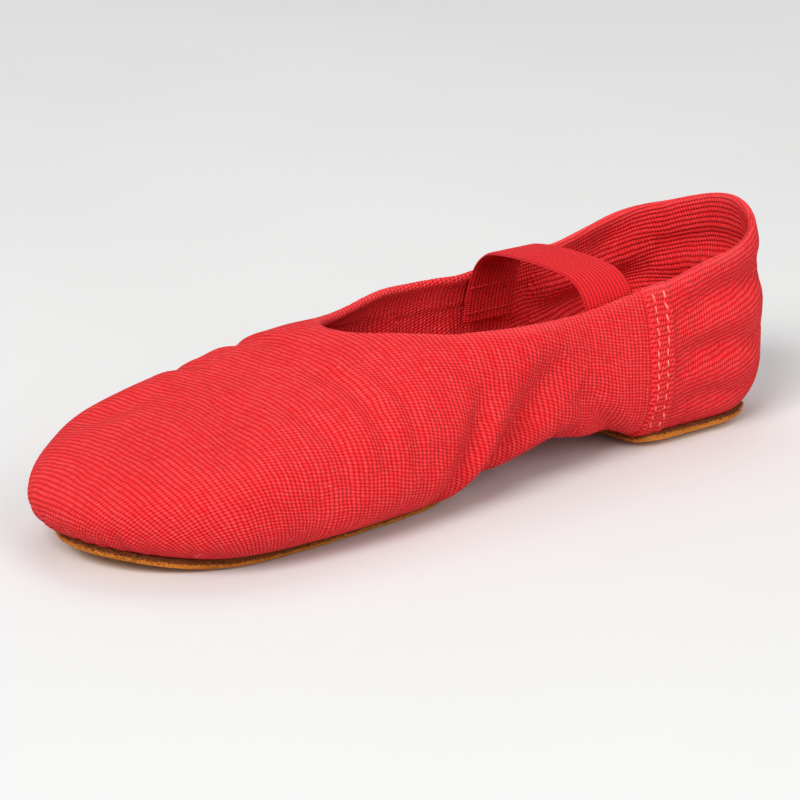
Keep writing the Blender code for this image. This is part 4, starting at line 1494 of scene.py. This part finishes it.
def elastic_material():
    """Ribbed elastic: darker between its ribs, a painted shade, and crossed by fine yarns."""
    material, nodes, shader = new_material("red_elastic", roughness=0.7, sheen=0.06, tint=(1.0, 0.5, 0.5))
    x, y, _ = nodes.split(thread_uv(nodes))
    turn = nodes.times(x, math.pi / (ELASTIC_RIB * MILLIMETRES))
    crest = nodes.math("ABSOLUTE", nodes.math("COSINE", turn))
    turn = nodes.times(y, 2 * math.pi / (ELASTIC_YARN * MILLIMETRES))
    yarn = nodes.line(nodes.math("SINE", turn), 0.5, 0.5)
    fibre = nodes.use(FIBRES, Vector=object_place(nodes), Size=ELASTIC_FIBRE)
    # Painted shade between the ribs
    colour = nodes.mix(crest, ELASTIC_RIB_SHADE, ELASTIC_HIGH)
    colour = nodes.mix(nodes.times(yarn, CROSS_SHARE), colour, ELASTIC_CROSS)
    colour = nodes.mix(nodes.times(fibre["Speck"], SPECK_SHARE), colour, ELASTIC_SPECK)
    nodes.feed(shader["Base Color"], colour)
    add_bump(nodes, shader, nodes.line(fibre["Height"], ELASTIC_FIBRE_BUMP, yarn), ELASTIC_BUMP)
    return material


def thread_material(name, tones):
    """Sewing thread, darker in the hollows of its twist, a painted shade, and uneven in tone from stitch to
    stitch.
    """
    material, nodes, shader = new_material(name, roughness=0.6, sheen=0.1, tint=(1.0, 0.9, 0.8))
    place = object_place(nodes)
    twist = nodes.use(FIBRES, Vector=place, Size=TWIST_SIZE)
    patch = nodes.use(BLOTCHES, Vector=place, Size=THREAD_PATCH)["Patch"]
    # The hollows of the twist get painted shade, and the tone varies from stitch to stitch
    pale = nodes.times(twist["Height"], nodes.line(patch, THREAD_PATCHY, THREAD_LEAST))
    nodes.feed(shader["Base Color"], nodes.mix(pale, *tones))
    add_bump(nodes, shader, twist["Height"], THREAD_BUMP)
    return material


def floor_material():
    """A pale matte sweep with the faintest mottling."""
    material, nodes, shader = new_material("pale_floor", roughness=0.9, sheen=0.0, tint=(1.0, 1.0, 1.0))
    patch = nodes.use(BLOTCHES, Vector=object_place(nodes), Size=FLOOR_PATCH)["Patch"]
    nodes.feed(shader["Base Color"], nodes.mix(patch, *FLOOR))
    return material


# Stage


CAMERA_AZIMUTH = 140
CAMERA_ELEVATION = 17
CAMERA_LENS = 128
CAMERA_SENSOR = 36
CAMERA_DISTANCE = 0.64
CAMERA_AIM = (0.006, 0.0, 0.018)

# One row for each soft light: its direction from the shoe, its distance and size, and its power in watts
Light = namedtuple("Light", "name azimuth elevation distance size power")
LIGHTS = (
    Light("key_light", 112, 42, 2.5, 1.3, 58.0),
    Light("fill_light", 185, 26, 2.5, 2.2, 31.0),
    Light("back_light", 320, 60, 2.5, 1.8, 12.0),
)
LIGHT_AIM = (0, 0, 0.02)
SKY_COLOUR = (1.0, 1.0, 1.0, 1.0)
SKY_STRENGTH = 0.45
FLOOR_REACH = 6.0
FLOOR_DROP = 0.0001


def direction(azimuth, elevation):
    """The way to a viewer: azimuth 0 stands on the -Y side and 90 on the +X side, in degrees."""
    turn, lift = math.radians(azimuth), math.radians(elevation)
    return Vector((math.sin(turn) * math.cos(lift), -math.cos(turn) * math.cos(lift), math.sin(lift)))


def add_aimed(name, data, place, target):
    """A camera or a light that looks from a place to a target."""
    item = add_object(name, data)
    item.location = place
    item.rotation_euler = (Vector(target) - Vector(place)).to_track_quat("-Z", "Y").to_euler()
    return item


def add_camera():
    camera = bpy.data.cameras.new("camera")
    camera.lens = CAMERA_LENS
    camera.sensor_width = CAMERA_SENSOR
    place = Vector(CAMERA_AIM) + direction(CAMERA_AZIMUTH, CAMERA_ELEVATION) * CAMERA_DISTANCE
    bpy.context.scene.camera = add_aimed("camera", camera, place, CAMERA_AIM)


def add_lights():
    for row in LIGHTS:
        lamp = bpy.data.lights.new(row.name, "AREA")
        lamp.shape = "DISK"
        lamp.size = row.size
        lamp.energy = row.power
        add_aimed(row.name, lamp, direction(row.azimuth, row.elevation) * row.distance, LIGHT_AIM)
    world = bpy.data.worlds.new("studio")
    world.use_nodes = True
    sky = world.node_tree.nodes["Background"].inputs
    sky["Color"].default_value = SKY_COLOUR
    sky["Strength"].default_value = SKY_STRENGTH
    bpy.context.scene.world = world
    bpy.context.scene.view_settings.view_transform = "Standard"


def add_floor():
    mesh = bpy.data.meshes.new("floor")
    corners = [(x * FLOOR_REACH, y * FLOOR_REACH, 0) for x, y in ((-1, -1), (1, -1), (1, 1), (-1, 1))]
    mesh.from_pydata(corners, [], [(0, 1, 2, 3)])
    mesh.materials.append(floor_material())
    floor = add_object("floor", mesh)
    floor.location.z = -FLOOR_DROP


# Stitched rows


def side_seam_paths():
    """The stitched rows behind each side seam, from the sole to just below the collar."""

    def climb(_, low, high):
        return np.linspace(low - SEAM_ROW_FOOT, high + SEAM_ROW_TOP, ROW_STEPS)

    paths = []
    for row in SEAM_ROWS:
        left, _ = skin(np.full(1, SEAM_RUN + row), climb)
        for side in (1, -1):
            paths.append(((left[0] + (0, OUTSIDE, 0)) * (1, side, 1), False))
    return paths


def arch_seam_paths():
    """The two stitched rows along the middle of the arch, between the pads."""
    x = np.linspace(HEEL.square + ARCH_ROW_INSET, FOREFOOT.square - ARCH_ROW_INSET, ROW_STEPS)
    rows = (np.full(ROW_STEPS, y) for y in (-ARCH_ROW, ARCH_ROW))
    return [(columns(x, y, sole_height(x, y) - OUTSIDE), False) for y in rows]


def pad_row_paths(row, layer):
    """The stitched row round a layer, and the few stitches where its end laps over its start."""
    plan = pad_outline(row, PAD_ROUND_STEPS)
    share = np.linspace(0.0, 1.0, LAP_STEPS)
    lap = columns(row.square - inward_of(row) * LAP_ASIDE * (1 - share),
                  blend(LAP_START, LAP_REACH * row.square_width, share))
    outside = math.copysign(LAYER_OUTSIDE, layer.face - layer.back)
    paths = []
    for line, looped in ((plan, True), (lap, False)):
        height = np.full(len(line), layer.face + outside)
        paths.append((from_sole(line[:, 0], line[:, 1], height), looped))
    return paths


def elastic_paths():
    """Two rows across each sewn end of the elastic, on its inner face."""
    route = elastic_route()
    rising = route[:ELASTIC_RISING_STEPS]
    x = ELASTIC_PLACE + np.linspace(-ELASTIC_ROW_HALF, ELASTIC_ROW_HALF, ELASTIC_ROW_STEPS) * ELASTIC_WIDTH
    paths = []
    for row in ELASTIC_ROWS:
        height = route[0, 2] + row
        inside = np.interp(height, rising[:, 2], rising[:, 1]) - ELASTIC
        for side in (1, -1):
            y, z = (np.full(ELASTIC_ROW_STEPS, value) for value in (side * inside, height))
            paths.append((columns(x, y, z), False))
    return paths


# The shoe put together


def coat(piece, material):
    piece.data.materials.clear()
    piece.data.materials.append(material)


def make_finishes():
    """The shoe's materials. Their keys are plain names, without the number that Blender may add to a name."""
    finishes = {"orange_suede": suede_material(), "red_elastic": elastic_material()}
    for name, cloth, edge_highlight in (("red_canvas", CANVAS_CLOTH, True), ("red_insole_cloth", INSOLE_CLOTH, False)):
        finishes[name] = woven_material(name, cloth, edge_highlight)
    for name, tones in THREADS.items():
        finishes[name] = thread_material(name, tones)
    for name, tones in STRANDS.items():
        finishes[name] = strand_material(name, tones)
    return finishes


def make_trees():
    """The shoe's geometry trees."""
    trees = {"edge_fibres": fibre_tree(), "loose_hairs": lint_tree(), "lengthwise_ribs": rib_tree()}
    for name, one_stitch in (("stitch_rows", thread_bow), ("hole_rows", needle_hole_shades)):
        trees[name] = stitch_tree(name, one_stitch)
    return trees


def add_canvas(finishes, trees):
    """The canvas, the loose hairs on it and the stitches of its seams."""
    upper = make_upper()
    coat(upper, finishes["red_canvas"])
    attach(upper, "root")
    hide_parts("upper")
    hairs = make_lint(upper, finishes["canvas_lint"], trees["loose_hairs"])
    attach(hairs, "root")
    sewing = surface_of(upper), SEAM_STITCH, finishes["peach_thread"], trees["stitch_rows"]
    seams = make_stitches("side_seam_stitches", side_seam_paths(), *sewing)
    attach(seams, "root")
    arch = make_stitches("arch_seam_stitches", arch_seam_paths(), *sewing)
    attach(arch, "root")


def add_pad(name, pad, finishes, trees):
    """A suede pad with its stitches, its needle holes painted as dark shade, and the fibres of its cut edge.
    """
    row = PAD_ROW[name]
    leather = make_layer(name + "_suede", pad, row, SUEDE_LAYER)
    coat(leather, finishes["orange_suede"])
    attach(leather, "root")
    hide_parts(name + "_pad")
    sewing = pad_row_paths(row, SUEDE_LAYER), surface_of(leather), PAD_STITCH
    sewn = make_stitches(name + "_pad_stitches", *sewing, finishes["cream_thread"], trees["stitch_rows"])
    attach(sewn, "root")
    hole_shade = make_stitches(name + "_needle_hole_shades", *sewing, finishes["needle_hole_shade"], trees["hole_rows"])
    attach(hole_shade, "root")
    fuzz = make_fibres(name + "_pad_fibres", pad, finishes["suede_fibres"], trees["edge_fibres"])
    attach(fuzz, "root")


def add_insole(name, pad, finishes, trees):
    """A padded insole, a little smaller than the pad under it, with its stitches."""
    row = PAD_ROW[name]
    inset = smaller(pad, tip=INSOLE_INSET, square=0.0, width=INSOLE_INSET, corner=PAD_CORNER)
    lining = make_layer(name + "_insole_cloth", inset, row, INSOLE_LAYER)
    coat(lining, finishes["red_insole_cloth"])
    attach(lining, "root")
    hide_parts(name + "_insole")
    sewing = pad_row_paths(row, INSOLE_LAYER), surface_of(lining), INSOLE_STITCH
    caught = make_stitches(name + "_insole_stitches", *sewing, finishes["red_thread"], trees["stitch_rows"])
    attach(caught, "root")


def add_elastic(finishes, trees):
    """The ribbed elastic and the stitches that hold its ends."""
    elastic = make_elastic(finishes["red_elastic"], trees["lengthwise_ribs"])
    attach(elastic, "root")
    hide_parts("instep_elastic")
    sewing = surface_of(elastic), ELASTIC_STITCH, finishes["red_thread"], trees["stitch_rows"]
    tacks = make_stitches("elastic_stitches", elastic_paths(), *sewing)
    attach(tacks, "root")


def main():
    finishes, trees = make_finishes(), make_trees()
    add_canvas(finishes, trees)
    for name, pad in (("forefoot", FOREFOOT), ("heel", HEEL)):
        add_pad(name, pad, finishes, trees)
        add_insole(name, pad, finishes, trees)
    add_elastic(finishes, trees)
    add_floor()
    add_lights()
    add_camera()


main()
